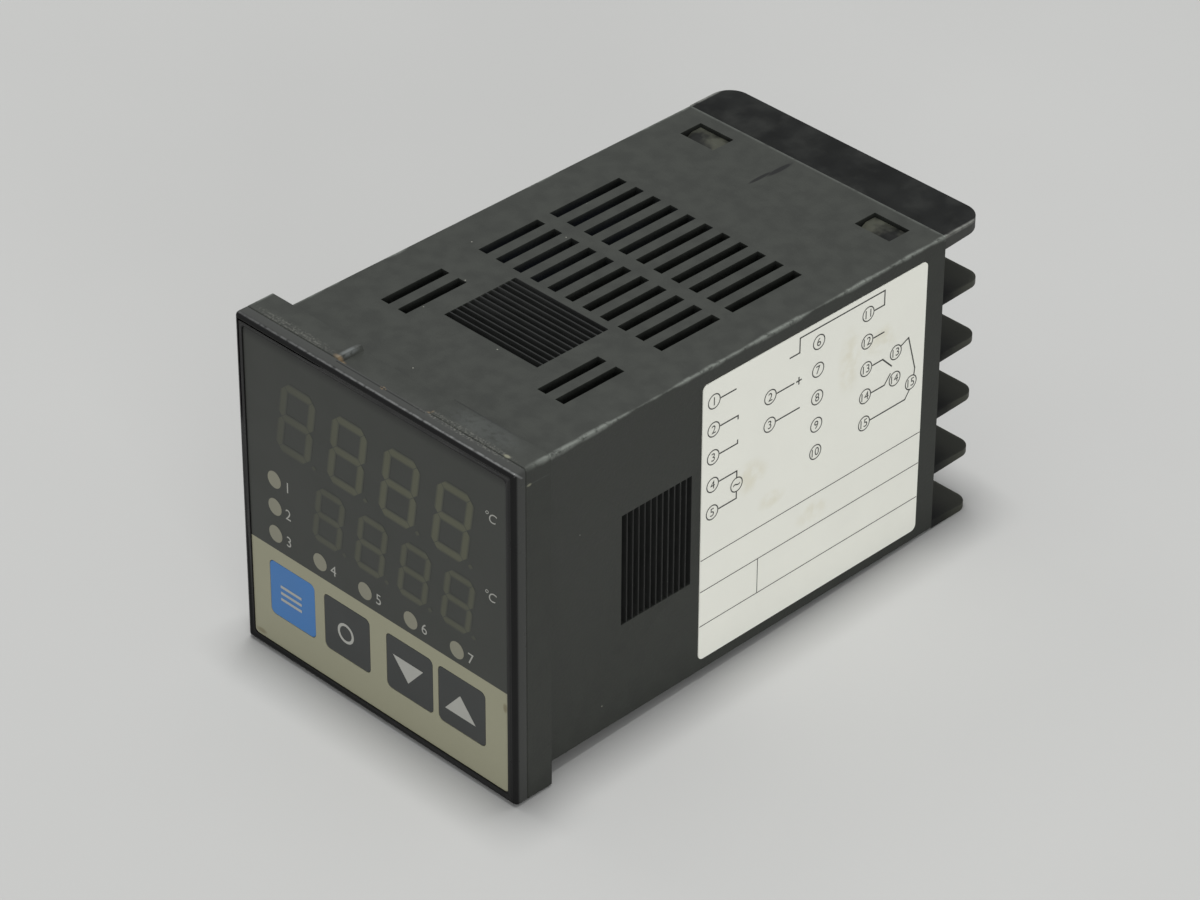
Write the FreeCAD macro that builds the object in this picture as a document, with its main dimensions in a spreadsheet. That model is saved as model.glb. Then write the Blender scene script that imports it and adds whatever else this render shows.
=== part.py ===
"""A square panel-mounted temperature controller, as a parametric document in millimetres.

The origin is the centre of the panel plane, where the back of the bezel meets the panel.
+X is to the right seen from the front, +Y runs back through the panel and +Z is up.
"""

import FreeCAD, Part
import os
import re

import Sketcher

# Driving sizes, one cell of the sheet each
SIZES = dict(
    # Bezel: front frame and case flange
    bezel_side=48.0,
    bezel_corner=0.4,
    bezel_depth=6.0,
    frame_depth=2.0,
    rim_round=0.6,
    seam_chamfer=0.12,
    notch_width=15.2,
    notch_slope=0.7,
    notch_depth=0.62,
    # Case tube, which narrows a little towards the back
    case_front_side=44.6,
    case_rear_side=44.0,
    case_length=69.6,
    case_edge=0.2,
    wall=1.2,
    fit_gap=0.15,
    # Vent slots
    vent_width=1.45,
    vent_pitch=3.0,
    vent_count=11,
    vent_outer_count=2,
    vent_rear_start=38.4,
    vent_rear_length=12.1,
    vent_middle_start=26.3,
    vent_middle_length=10.0,
    vent_front_start=10.1,
    vent_front_length=10.0,
    # Ratchet patches for the mounting bracket
    ratchet_width=16.0,
    ratchet_start=13.5,
    ratchet_pitch=1.0,
    ratchet_count=12,
    ratchet_mouth=0.82,
    ratchet_floor=0.4,
    ratchet_depth=0.7,
    # Latch windows and the hooks that snap into them
    latch_spacing=30.1,
    latch_width=5.8,
    latch_setback=2.2,
    latch_length=3.7,
    latch_gap=0.2,
    hook_height=0.9,
    # Board rails inside the case
    rail_wall=0.9,
    rail_reach=1.0,
    rail_setback=3.0,
    board_slip=0.1,
    board_top_gap=0.2,
    # Film on the front
    film_margin=1.3,
    film_corner=0.6,
    film_recess=0.15,
    film_thickness=0.25,
    film_gap=0.05,
    film_key_gap=0.06,
    # Keys
    key_width=8.1,
    key_height=8.0,
    key_corner=0.8,
    key_low=14.0,
    set_key_x=-15.4,
    select_key_x=-5.5,
    down_key_x=5.6,
    up_key_x=14.7,
    key_travel=0.4,
    key_gap=0.2,
    key_neck_width=6.8,
    key_neck_inset=0.2,
    key_lip=0.45,
    key_lip_thickness=0.6,
    key_lip_gap=0.1,
    key_post=3.0,
    # Collar of the front frame inside the mouth of the case
    collar_wall=1.2,
    collar_depth=9.0,
    ledge_length=3.0,
    ledge_width=0.7,
    ridge_width=8.0,
    ridge_length=2.0,
    ridge_height=0.4,
    ridge_setback=1.5,
    ridge_gap=0.1,
    # Displays behind the film
    display_gap=0.2,
    display_depth=7.0,
    window_gap=0.15,
    pv_x=-0.5,
    pv_z=12.0,
    pv_width=37.0,
    pv_height=12.0,
    pv_digit_width=6.0,
    pv_digit_height=10.3,
    pv_digit_pitch=9.15,
    pv_segment=1.25,
    sv_x=2.7,
    sv_z=1.1,
    sv_width=31.0,
    sv_height=9.4,
    sv_digit_width=5.0,
    sv_digit_height=8.2,
    sv_digit_pitch=7.5,
    sv_segment=1.0,
    digit_count=4,
    digit_lean=0.14,
    segment_gap=0.12,
    segment_depth=0.5,
    point_radius=0.5,
    point_offset=0.75,
    # Indicator lamps: a row of five, with two more above the first
    indicator_x=-17.87,
    indicator_low=5.9,
    indicator_row_pitch=8.0,
    indicator_column_pitch=4.05,
    indicator_diameter=2.4,
    lens_gap=0.1,
    lens_lip=0.2,
    lens_lip_thickness=0.6,
    lamp_length=2.0,
    lamp_width=1.25,
    lamp_height=1.1,
    # Circuit boards
    board_thickness=1.6,
    board_gap=0.15,
    side_board_gap=2.0,
    rear_board_margin=0.5,
    header_side=2.5,
    header_length=20.0,
    # Tactile switches
    switch_side=6.0,
    switch_height=3.5,
    stem_diameter=3.4,
    stem_rise=0.9,
    stem_inside=1.0,
    stem_gap=0.15,
    # Terminal block
    base_thickness=3.2,
    skirt_depth=6.4,
    skirt_wall=1.2,
    hood_thickness=1.9,
    hood_tip=1.5,
    fin_thickness=1.25,
    fin_tip=0.8,
    fin_pitch=8.5,
    fin_count=4,
    fin_depth=7.3,
    fin_corner=2.0,
    hood_corner=3.0,
    root_rise=0.45,
    partition_width=1.2,
    partition_depth=4.0,
    # Screw terminals, in columns across and rows between the fins
    column_pitch=13.0,
    column_count=3,
    row_count=5,
    plate_side=6.6,
    plate_thickness=0.8,
    plate_gap=0.1,
    tab_width=2.4,
    washer_side=6.0,
    washer_thickness=0.8,
    screw_diameter=2.9,
    screw_head=5.4,
    screw_head_height=2.0,
    screw_cross=3.4,
    screw_cross_width=0.8,
    screw_cross_depth=1.0,
    screw_length=6.0,
    screw_tap_gap=0.05,
    screw_clearance=0.25,
    # Side label
    label_setback=3.3,
    label_length=39.6,
    label_height=40.4,
    label_low=20.4,
    label_corner=0.8,
    label_thickness=0.12,
    # Transformer on the power board
    transformer_gap=0.6,
    transformer_z=-9.5,
    core_width=16.1,
    core_height=14.2,
    core_thickness=4.8,
    core_leg=4.0,
    core_side=2.15,
    bobbin_wall=0.7,
    bobbin_flange=0.8,
    bobbin_reach=12.5,
    bobbin_gap=0.1,
    winding_build=1.9,
    # Cans and blocks on the power board
    input_can_setback=0.9,
    input_can_z=-12.0,
    input_can_diameter=10.0,
    input_can_height=16.0,
    output_can_gap=0.8,
    output_can_z=-13.5,
    output_can_diameter=8.0,
    output_can_height=11.5,
    can_crimp=0.4,
    can_crimp_height=1.6,
    relay_length=20.0,
    relay_width=10.0,
    relay_height=15.0,
    relay_edge=0.6,
    relay_z=8.0,
    relay_setback=6.4,
    relay_gap=3.5,
    varistor_setback=0.6,
    varistor_z=-3.0,
    varistor_diameter=7.0,
    varistor_thickness=3.6,
    rectifier_y=14.0,
    rectifier_z=13.5,
    rectifier_length=8.2,
    rectifier_width=6.4,
    rectifier_height=3.0,
    fuse_y=12.5,
    fuse_z=4.0,
    fuse_diameter=8.4,
    fuse_height=8.0,
    choke_gap=0.4,
    choke_z=-15.2,
    choke_flange=5.6,
    choke_waist=3.4,
    choke_height=7.0,
    choke_rim=1.2,
    # Chips: bodies with a row of legs on two sides, or on four
    leg_width=0.4,
    leg_reach=1.0,
    leg_thickness=0.3,
    leg_pitch=1.27,
    fine_leg_pitch=0.8,
    controller_y=12.5,
    controller_z=-5.2,
    controller_length=6.2,
    controller_width=4.0,
    opto_z=-7.0,
    opto_length=4.6,
    opto_width=4.4,
    chip_height=1.6,
    micro_y=24.0,
    micro_z=3.0,
    micro_length=10.0,
    micro_width=10.0,
    memory_y=24.0,
    memory_z=-11.0,
    memory_length=5.0,
    memory_width=4.0,
    amplifier_y=43.0,
    amplifier_z=-7.0,
    amplifier_length=8.7,
    amplifier_width=4.0,
    crystal_y=38.0,
    crystal_z=9.0,
    crystal_length=11.0,
    crystal_width=4.6,
    crystal_height=3.6,
)

# Places worked out from the driving sizes
PLACES = dict(
    front="-bezel_depth",
    seam="frame_depth - bezel_depth",
    bezel_half="bezel_side/2",
    case_half="case_front_side/2",
    rear_half="case_rear_side/2",
    draft="(case_front_side - case_rear_side)/2",
    draft_angle="atan(draft/case_length)",
    cavity_half="case_rear_side/2 - wall",
    film_face="front + film_recess",
    film_back="film_face + film_thickness",
    film_half="bezel_half - film_margin",
    collar_half="cavity_half - fit_gap",
    collar_inner="collar_half - collar_wall",
    collar_end="seam + collar_depth",
    ridge_end="collar_end - ridge_setback",
    display_face="film_back + display_gap",
    board_face="display_face + display_depth",
    board_back="board_face + board_thickness",
    board_half="collar_inner - board_gap",
    side_board_outer="cavity_half - side_board_gap",
    side_board_inner="side_board_outer - board_thickness",
    lip_front="seam + key_lip_gap",
    lip_back="lip_front + key_lip_thickness",
    cap_back="seam - key_travel - key_lip_gap",
    switch_face="board_face - switch_height",
    stem_face="switch_face - stem_rise",
    key_z="-key_low",
    indicator_z="-indicator_low",
    lens_radius="indicator_diameter/2",
    plug_half="cavity_half - fit_gap",
    latch_stop="case_length - latch_setback",
    latch_start="latch_stop - latch_length",
    base_face="case_length - base_thickness",
    skirt_front="base_face - skirt_depth",
    rear_board_face="skirt_front - board_thickness",
    fin_end="case_length + fin_depth",
    hood_low="rear_half - hood_thickness",
    hood_middle="rear_half - hood_thickness/2",
    floor_top="fin_thickness - rear_half",
    lowest_fin="hood_middle - fin_count*fin_pitch",
    first_column="-column_pitch*(column_count - 1)/2",
    lowest_row="hood_middle - (row_count - 1/2)*fin_pitch",
    plate_back="case_length",
    plate_front="case_length - plate_thickness",
    washer_back="case_length + washer_thickness",
    screw_back="washer_back + screw_head_height",
    label_start="case_length - label_setback - label_length",
    label_wall="case_half - draft*label_start/case_length",
    label_bottom="-label_low",
    power_face="-side_board_inner",
    cpu_face="side_board_inner",
    parts_end="rear_board_face - header_side",
    varistor_y="parts_end - varistor_setback - varistor_thickness/2",
    output_relay_y="parts_end - relay_setback - relay_width/2",
    alarm_relay_y="output_relay_y - relay_width - relay_gap",
    input_can_y="parts_end - input_can_setback - input_can_diameter/2",
    choke_y="input_can_y - input_can_diameter/2 - choke_gap - choke_flange/2",
    transformer_y="choke_y - choke_flange/2 - transformer_gap - core_width/2",
    output_can_y="transformer_y - core_width/2 - output_can_gap - output_can_diameter/2",
    opto_y="choke_y",
    rail_start="collar_end + rail_setback",
    rail_end="rear_board_face - rail_setback",
)

WORD = re.compile(r"[a-z][a-z0-9_]*")

doc = FreeCAD.newDocument("temperature_controller")
sheet = doc.addObject("Spreadsheet::Sheet", "Sizes")
for row, (alias, size) in enumerate(SIZES.items(), 1):
    sheet.set(f"A{row}", alias)
    sheet.set(f"B{row}", str(size))
    sheet.setAlias(f"B{row}", alias)
doc.recompute()

pieces = []


def bind(text):
    """Write a text of size and place names as an expression on the sheet."""

    def swap(match):
        word = match.group(0)
        if word in PLACES:
            return "(" + bind(PLACES[word]) + ")"
        return "Sizes." + word if word in SIZES else word

    return WORD.sub(swap, text)


def value(text):
    """The number that a text of size and place names has now."""
    result = sheet.evalExpression(bind(text))
    return float(getattr(result, "Value", result))


def piece(thing):
    """Count an object as one of the controller's own pieces."""
    pieces.append(thing)
    return thing


# Sketches and features of a body


def new_body(label):
    """An empty body named for the piece that it becomes."""
    return piece(doc.addObject("PartDesign::Body", label))


def origin(body, role):
    """One of the body's own origin planes or axes."""
    return next(feature for feature in body.Origin.OriginFeatures if feature.Role == role)


def sketch(body, name, role, offset="0"):
    """An empty sketch on an origin plane of the body, moved along the plane's normal."""
    drawing = body.newObject("Sketcher::SketchObject", f"{body.Name}_{name}")
    drawing.AttachmentSupport = [(origin(body, role), "")]
    drawing.MapMode = "FlatFace"
    drawing.setExpression("AttachmentOffset.Base.z", bind(offset))
    return drawing


def upright(body, name, y):
    """A sketch of X and Z that faces the front, at a depth y."""
    return sketch(body, name, "XZ_Plane", f"-({y})")


def pin_point(drawing, geometry, end, x, y):
    """Tie one point of the drawing to its distances from the origin."""
    for kind, text in (("DistanceX", x), ("DistanceY", y)):
        number = drawing.addConstraint(Sketcher.Constraint(kind, -1, 1, geometry, end, value(text)))
        drawing.setExpression(f"Constraints[{number}]", bind(text))


def outline(drawing, corners):
    """Draw a closed outline from corners (x, y), or (x, y, radius) at a square rounded corner."""
    points = []
    for index, corner in enumerate(corners):
        x, y = corner[:2]
        if len(corner) == 2:
            points.append([(x, y)])
            continue
        stops = []
        for other in (corners[index - 1], corners[(index + 1) % len(corners)]):
            run = FreeCAD.Vector(value(other[0]) - value(x), value(other[1]) - value(y)).normalize()
            stops.append((f"({x}) + {round(run.x)}*{corner[2]}", f"({y}) + {round(run.y)}*{corner[2]}"))
        points.append(stops)
    lines = []
    for index, stops in enumerate(points):
        ends = stops[-1], points[(index + 1) % len(points)][0]
        place = [FreeCAD.Vector(value(x), value(y)) for x, y in ends]
        lines.append(drawing.addGeometry(Part.LineSegment(*place)))
    for index, (corner, stops) in enumerate(zip(corners, points)):
        before, after = lines[index - 1], lines[index]
        pin_point(drawing, after, 1, *stops[-1])
        if len(stops) == 1:
            drawing.addConstraint(Sketcher.Constraint("Coincident", before, 2, after, 1))
            continue
        pin_point(drawing, before, 2, *stops[0])
        round_corner(drawing, corner, stops, before, after)


def round_corner(drawing, corner, stops, before, after):
    """Join two lines of an outline by the arc of a rounded corner."""
    tip, start, stop = (FreeCAD.Vector(value(x), value(y)) for x, y in (corner[:2], *stops))
    radius = value(corner[2])
    centre = start + stop - tip
    middle = centre + (tip - centre).normalize() * radius
    arc = drawing.addGeometry(Part.Arc(start, middle, stop))
    ends = (1, 2) if drawing.getPoint(arc, 1).distanceToPoint(start) < radius / 2 else (2, 1)
    drawing.addConstraint(Sketcher.Constraint("Coincident", arc, ends[0], before, 2))
    drawing.addConstraint(Sketcher.Constraint("Coincident", arc, ends[1], after, 1))
    number = drawing.addConstraint(Sketcher.Constraint("Radius", arc, radius))
    drawing.setExpression(f"Constraints[{number}]", bind(corner[2]))


def rectangle(drawing, left, right, low, high, *radius):
    """Draw a rectangle, with all four corners rounded if a radius is given."""
    corners = (left, low), (right, low), (right, high), (left, high)
    outline(drawing, [corner + radius for corner in corners])


def square(drawing, half, *radius):
    """Draw a square about the origin."""
    rectangle(drawing, f"-({half})", half, f"-({half})", half, *radius)


def circle(drawing, x, y, radius):
    """Draw a circle tied to its centre and radius."""
    place = FreeCAD.Vector(value(x), value(y))
    number = drawing.addGeometry(Part.Circle(place, FreeCAD.Vector(0, 0, 1), value(radius)))
    pin_point(drawing, number, 3, x, y)
    tie = drawing.addConstraint(Sketcher.Constraint("Radius", number, value(radius)))
    drawing.setExpression(f"Constraints[{tie}]", bind(radius))


def feature(kind, drawing, length, back=False, symmetric=False, taper=None):
    """A pad or pocket of a drawing, along its normal unless it goes back."""
    body = drawing.getParentGeoFeatureGroup()
    made = body.newObject(f"PartDesign::{kind}", f"{drawing.Name}_{kind.lower()}")
    made.Profile = drawing
    made.Reversed = back
    if symmetric:
        made.SideType = "Symmetric"
    if length:
        made.setExpression("Length", bind(length))
    else:
        made.Type = "ThroughAll"
    if taper:
        made.setExpression("TaperAngle", bind(taper))
    return made


def pad(drawing, length, **options):
    """Raise a drawing by a length; an upright one comes forward."""
    return feature("Pad", drawing, length, **options)


def pocket(drawing, length=None, **options):
    """Cut a drawing by a length, or right through; an upright one cuts backwards."""
    return feature("Pocket", drawing, length, **options)


def pattern(body, name, originals, *ways):
    """Repeat features along one or two axes, each way an axis role, a pitch and a count."""
    made = body.newObject("PartDesign::LinearPattern", f"{body.Name}_{name}")
    made.Originals = originals
    for end, (role, pitch, count) in zip(("", "2"), ways):
        setattr(made, f"Direction{end}", (origin(body, role), [""]))
        setattr(made, f"Mode{end}", "Extent")
        made.setExpression(f"Length{end}", bind(f"{pitch}*({count} - 1)"))
        made.setExpression(f"Occurrences{end}", bind(count))
    body.Tip = made
    return made


def dress(body, kind, base, size, wanted):
    """Fillet or chamfer the edges of a feature that pass a test."""
    doc.recompute()
    names = [f"Edge{n}" for n, edge in enumerate(base.Shape.Edges, 1) if wanted(edge.BoundBox)]
    made = body.newObject(f"PartDesign::{kind}", f"{base.Name}_{kind.lower()}")
    made.Base = (base, names)
    made.setExpression("Radius" if kind == "Fillet" else "Size", bind(size))
    return made


# Primitives and booleans


def box(label, x, y, z):
    """A block between low and high texts on each axis."""
    block = doc.addObject("Part::Box", label)
    for side, axis, (low, high) in zip(("Length", "Width", "Height"), "xyz", (x, y, z)):
        block.setExpression(side, bind(f"({high}) - ({low})"))
        block.setExpression(f"Placement.Base.{axis}", bind(low))
    return block


def rod(label, axis, x, y, z, radius, length):
    """A round rod from a point along +X or +Y."""
    turn = {"x": (FreeCAD.Vector(0, 1, 0), 90), "y": (FreeCAD.Vector(1, 0, 0), -90)}[axis]
    bar = doc.addObject("Part::Cylinder", label)
    bar.Placement = FreeCAD.Placement(FreeCAD.Vector(), FreeCAD.Rotation(*turn))
    bar.setExpression("Radius", bind(radius))
    bar.setExpression("Height", bind(length))
    for name, text in zip("xyz", (x, y, z)):
        bar.setExpression(f"Placement.Base.{name}", bind(text))
    return bar


def around(middle, size):
    """The low and high texts of a size about a middle."""
    return f"{middle} - {size}/2", f"{middle} + {size}/2"


def cut(label, base, tool):
    """One solid less another."""
    made = doc.addObject("Part::Cut", label)
    made.Base = base
    made.Tool = tool
    return made


def fuse(label, solids):
    """Several solids as one."""
    made = doc.addObject("Part::MultiFuse", label)
    made.Shapes = solids
    return made


def group(label, solids):
    """Several like solids as one group."""
    made = doc.addObject("Part::Compound", label)
    made.Links = solids
    return made


# Enclosure

KEYS = "set", "select", "down", "up"


def make_case():
    """The case: a flange, a tube with a slight draft, vents, ratchets, latch windows and rails."""
    body = new_body("case")
    flange = upright(body, "flange", "0")
    square(flange, "bezel_half", "bezel_corner")
    base = pad(flange, "bezel_depth - frame_depth")
    at_seam = value("seam")
    dress(body, "Chamfer", base, "seam_chamfer", lambda b: b.YMax < at_seam + 1e-6)

    tube = upright(body, "tube", "0")
    square(tube, "case_half")
    base = pad(tube, "case_length", back=True, taper="-draft_angle")
    reach = value("case_length")
    dress(body, "Fillet", base, "case_edge", lambda b: b.YLength > reach - 1e-3 and b.YMin > -1e-3)

    cavity = sketch(body, "cavity", "XZ_Plane")
    square(cavity, "cavity_half")
    pocket(cavity, symmetric=True)

    notch = upright(body, "notch", "seam")
    for side in ("", "-"):
        low, high = f"{side}(bezel_half - notch_depth)", f"{side}(bezel_half + rim_round)"
        foot, mouth = "notch_width/2", "notch_width/2 + notch_slope"
        outline(notch, [(f"-({foot})", low), (foot, low), (mouth, high), (f"-({mouth})", high)])
    pocket(notch, "bezel_depth - frame_depth")

    make_vents(body)
    make_ratchets(body)
    windows = sketch(body, "latch", "XY_Plane")
    for side in ("-", ""):
        middle = f"{side}latch_spacing/2"
        rectangle(windows, *around(middle, "latch_width"), "latch_start", "latch_stop")
    pocket(windows, symmetric=True)
    groove = sketch(body, "ridge_groove", "YZ_Plane")
    for side in ("", "-"):
        low, high = f"{side}collar_half", f"{side}(collar_half + ridge_height + ridge_gap)"
        rectangle(groove, "ridge_end - ridge_length - ridge_gap", "ridge_end + ridge_gap", low, high)
    pocket(groove, "ridge_width + 2*ridge_gap", symmetric=True)
    make_rails(body)


def make_vents(body):
    """Rows of slots across the top and the bottom."""
    first = "-vent_pitch*(vent_count - 1)/2"
    rows = {}
    for name in ("rear", "middle", "front"):
        slot = sketch(body, f"{name}_vent", "XY_Plane")
        start, length = f"vent_{name}_start", f"vent_{name}_length"
        rectangle(slot, *around(first, "vent_width"), start, f"{start} + {length}")
        rows[name] = pocket(slot, symmetric=True)
    pattern(body, "rear_vents", [rows["rear"], rows["middle"]], ("X_Axis", "vent_pitch", "vent_count"))
    outer_step = "vent_pitch*(vent_count - vent_outer_count)"
    pattern(
        body,
        "front_vents",
        [rows["front"]],
        ("X_Axis", "vent_pitch", "vent_outer_count"),
        ("X_Axis", outer_step, "2"),
    )


def make_ratchets(body):
    """A patch of grooves on each of the four sides."""
    grooves = []
    for name, role in (("flat", "YZ_Plane"), ("side", "XY_Plane")):
        groove = sketch(body, f"{name}_ratchet", role)
        for side in ("", "-"):
            start = "ratchet_start"
            floor = f"{side}(case_half - draft*ratchet_start/case_length - ratchet_depth)"
            mouth = f"{side}(case_half + rim_round)"
            slope = "(ratchet_mouth - ratchet_floor)/2*(ratchet_depth + rim_round)/ratchet_depth"
            lows = (start, floor), (f"{start} + ratchet_floor", floor)
            highs = (f"{start} + ratchet_floor + {slope}", mouth), (f"{start} - {slope}", mouth)
            corners = [*lows, *highs]
            if name == "side":
                corners = [(y, x) for x, y in corners]
            outline(groove, corners)
        grooves.append(pocket(groove, "ratchet_width", symmetric=True))
    pattern(body, "ratchets", grooves, ("Y_Axis", "ratchet_pitch", "ratchet_count"))


def make_rails(body):
    """Channels along the top and bottom walls that hold the edges of the two side boards."""
    rails = upright(body, "rails", "rail_end")
    for side in ("-", ""):
        inner = f"{side}(side_board_inner - board_slip)"
        outer = f"{side}(side_board_outer + board_slip)"
        near = f"{side}(side_board_inner - board_slip - rail_wall)"
        far = f"{side}(side_board_outer + board_slip + rail_wall)"
        for sign, slack in (("-", "0"), ("", "board_top_gap")):
            edge, seat = f"{sign}(board_half - rail_reach)", f"{sign}(board_half + {slack})"
            root = f"{sign}cavity_half"
            outline(
                rails,
                [
                    (near, root),
                    (near, edge),
                    (inner, edge),
                    (inner, seat),
                    (outer, seat),
                    (outer, edge),
                    (far, edge),
                    (far, root),
                ],
            )
    pad(rails, "rail_end - rail_start")


def make_front_frame():
    """The front half of the bezel: a rim, a face plate with openings, and a collar."""
    body = new_body("front_frame")
    plate = upright(body, "plate", "seam")
    square(plate, "bezel_half", "bezel_corner")
    base = pad(plate, "frame_depth")
    at_front, at_seam = value("front"), value("seam")
    base = dress(body, "Fillet", base, "rim_round", lambda b: b.YMax < at_front + 1e-6)
    dress(body, "Chamfer", base, "seam_chamfer", lambda b: b.YMin > at_seam - 1e-6)

    recess = upright(body, "film_recess", "front")
    square(recess, "film_half", "film_corner")
    pocket(recess, "film_recess + film_thickness")

    openings = upright(body, "openings", "film_back")
    for key in KEYS:
        wide = around(f"{key}_key_x", "(key_width + 2*key_gap)")
        tall = around("key_z", "(key_height + 2*key_gap)")
        rectangle(openings, *wide, *tall, "key_corner")
    for x, z in indicator_places():
        circle(openings, x, z, "lens_radius + lens_gap")
    pocket(openings, "frame_depth")
    for name in ("pv", "sv"):
        window = upright(body, f"{name}_window", "film_back")
        wide = around(f"{name}_x", f"({name}_width + 2*window_gap)")
        rectangle(window, *wide, *around(f"{name}_z", f"({name}_height + 2*window_gap)"))
        pocket(window, "frame_depth")

    collar = upright(body, "collar", "collar_end")
    square(collar, "collar_half")
    square(collar, "collar_inner")
    pad(collar, "collar_depth")
    ledges = upright(body, "ledges", "board_face")
    for across in ("-", ""):
        for up in ("-", ""):
            inner, outer = f"{across}(collar_inner - ledge_length)", f"{across}collar_inner"
            low, high = f"{up}(collar_inner - ledge_width)", f"{up}collar_inner"
            rectangle(ledges, inner, outer, low, high)
    pad(ledges, "board_face - seam")
    ridge = sketch(body, "ridge", "YZ_Plane")
    for side in ("", "-"):
        low, high = f"{side}collar_half", f"{side}(collar_half + ridge_height)"
        front, back = "ridge_end - ridge_length", "ridge_end"
        outline(ridge, [(front, low), (back, low), (f"({front} + {back})/2", high), (front, high)])
    pad(ridge, "ridge_width", symmetric=True)


def indicator_places():
    """The centres of the seven indicator lamps."""
    row = [(f"indicator_x + {n}*indicator_row_pitch", "indicator_z") for n in range(5)]
    column = [("indicator_x", f"indicator_z + {n}*indicator_column_pitch") for n in (1, 2)]
    return row + column


def make_film():
    """The overlay film, cut round each key."""
    body = new_body("front_film")
    sheet_outline = upright(body, "outline", "film_back")
    square(sheet_outline, "film_half - film_gap", "film_corner")
    pad(sheet_outline, "film_thickness")
    openings = upright(body, "openings", "film_face")
    for key in KEYS:
        wide = around(f"{key}_key_x", "(key_width + 2*film_key_gap)")
        tall = around("key_z", "(key_height + 2*film_key_gap)")
        rectangle(openings, *wide, *tall, "key_corner")
    pocket(openings, "film_thickness")


def make_key(key):
    """A key: a cap in the film, a neck, a lip behind the plate and a post on the switch."""
    body = new_body(f"{key}_key")
    x = f"{key}_key_x"
    cap = upright(body, "cap", "cap_back")
    rectangle(cap, *around(x, "key_width"), *around("key_z", "key_height"), "key_corner")
    pad(cap, "cap_back - film_face")
    neck = upright(body, "neck", "lip_front")
    rectangle(neck, *around(x, "key_neck_width"), *around("key_z", "(key_height - 2*key_neck_inset)"))
    pad(neck, "lip_front - cap_back")
    lip = upright(body, "lip", "lip_back")
    rectangle(lip, *around(x, "key_neck_width"), *around("key_z", "(key_height + 2*key_lip)"))
    pad(lip, "key_lip_thickness")
    post = upright(body, "post", "stem_face")
    circle(post, x, "key_z", "key_post/2")
    pad(post, "stem_face - lip_back")


def make_switch(key):
    """A tactile switch: a square body with a bore, and the stem that the key presses."""
    x = f"{key}_key_x"
    block = box(
        f"{key}_switch_block",
        around(x, "switch_side"),
        ("switch_face", "board_face"),
        around("key_z", "switch_side"),
    )
    bore = rod(
        f"{key}_switch_bore",
        "y",
        x,
        "switch_face",
        "key_z",
        "stem_diameter/2 + stem_gap",
        "stem_inside + key_travel + stem_gap",
    )
    piece(cut(f"{key}_switch", block, bore))
    stem_length = "stem_rise + stem_inside"
    piece(rod(f"{key}_switch_stem", "y", x, "stem_face", "key_z", "stem_diameter/2", stem_length))


def make_label():
    """The label, lying on the slope of the right side."""
    body = new_body("side_label")
    paper = sketch(body, "paper", "YZ_Plane")
    rectangle(paper, "0", "label_length", "label_bottom", "label_bottom + label_height", "label_corner")
    pad(paper, "label_thickness")
    body.Placement = FreeCAD.Placement(FreeCAD.Vector(), FreeCAD.Rotation(FreeCAD.Vector(0, 0, 1), 1))
    body.setExpression("Placement.Rotation.Angle", bind("draft_angle"))
    body.setExpression("Placement.Base.x", bind("label_wall"))
    body.setExpression("Placement.Base.y", bind("label_start"))


# Displays and indicators


def segment_outlines(name):
    """The six corners of each of the seven bars of a digit, about its centre."""
    bar, slack = f"{name}_segment/2", "segment_gap"
    side = f"({name}_digit_width - {name}_segment)/2"
    rise = f"({name}_digit_height - {name}_segment)/2"
    for level in ("0", rise, f"-{rise}"):
        tip = f"({side} - {slack})"
        flat = f"({side} - {slack} - {bar})"
        top, bottom = f"{level} + {bar}", f"{level} - {bar}"
        above = (f"-{tip}", level), (f"-{flat}", top), (flat, top)
        below = (tip, level), (flat, bottom), (f"-{flat}", bottom)
        yield [*above, *below]
    for across in (side, f"-{side}"):
        for low, high in (("0", rise), (f"-{rise}", "0")):
            left, right = f"{across} - {bar}", f"{across} + {bar}"
            start, stop = f"{low} + {slack}", f"{high} - {slack}"
            foot, head = f"{start} + {bar}", f"{stop} - {bar}"
            upward = (across, start), (right, foot), (right, head)
            downward = (across, stop), (left, head), (left, foot)
            yield [*upward, *downward]


def make_display(name):
    """A four-digit display module with its light bars let into the face."""
    bars = new_body(f"{name}_segments")
    digit = upright(bars, "digit", "display_face + segment_depth")
    first = f"{name}_x - {name}_digit_pitch*(digit_count - 1)/2"
    for corners in segment_outlines(name):
        outline(digit, [(f"{first} + {x} + digit_lean*({z})", f"{name}_z + {z}") for x, z in corners])
    low = f"-{name}_digit_height/2 + point_radius"
    right = f"{name}_digit_width/2 + point_offset"
    circle(digit, f"{first} + {right} + digit_lean*({low})", f"{name}_z + {low}", "point_radius")
    one = pad(digit, "segment_depth")
    pattern(bars, "digits", [one], ("X_Axis", f"{name}_digit_pitch", "digit_count"))
    block = box(
        f"{name}_display_block",
        around(f"{name}_x", f"{name}_width"),
        ("display_face", "board_face"),
        around(f"{name}_z", f"{name}_height"),
    )
    piece(cut(f"{name}_display", block, bars))


def make_indicators():
    """Lens pins in the face plate and a lamp chip on the board behind each."""
    lenses, lamps = [], []
    for number, (x, z) in enumerate(indicator_places()):
        pin = rod(f"lens_pin_{number}", "y", x, "film_back", z, "lens_radius", "seam - film_back")
        wide = "lens_radius + lens_lip"
        lip = rod(f"lens_lip_{number}", "y", x, "seam", z, wide, "lens_lip_thickness")
        lenses.append(fuse(f"lens_{number}", [pin, lip]))
        across, up = around(x, "lamp_length"), around(z, "lamp_width")
        lamps.append(box(f"lamp_{number}", across, ("board_face - lamp_height", "board_face"), up))
    piece(group("indicator_lenses", lenses))
    piece(group("indicator_leds", lamps))


# Terminal block


def at_tip(box, end):
    """Whether an edge with this box stands upright at the end of a fin or the hood."""
    return box.YMin > end - 1e-3 and box.XLength < 1e-3


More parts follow.
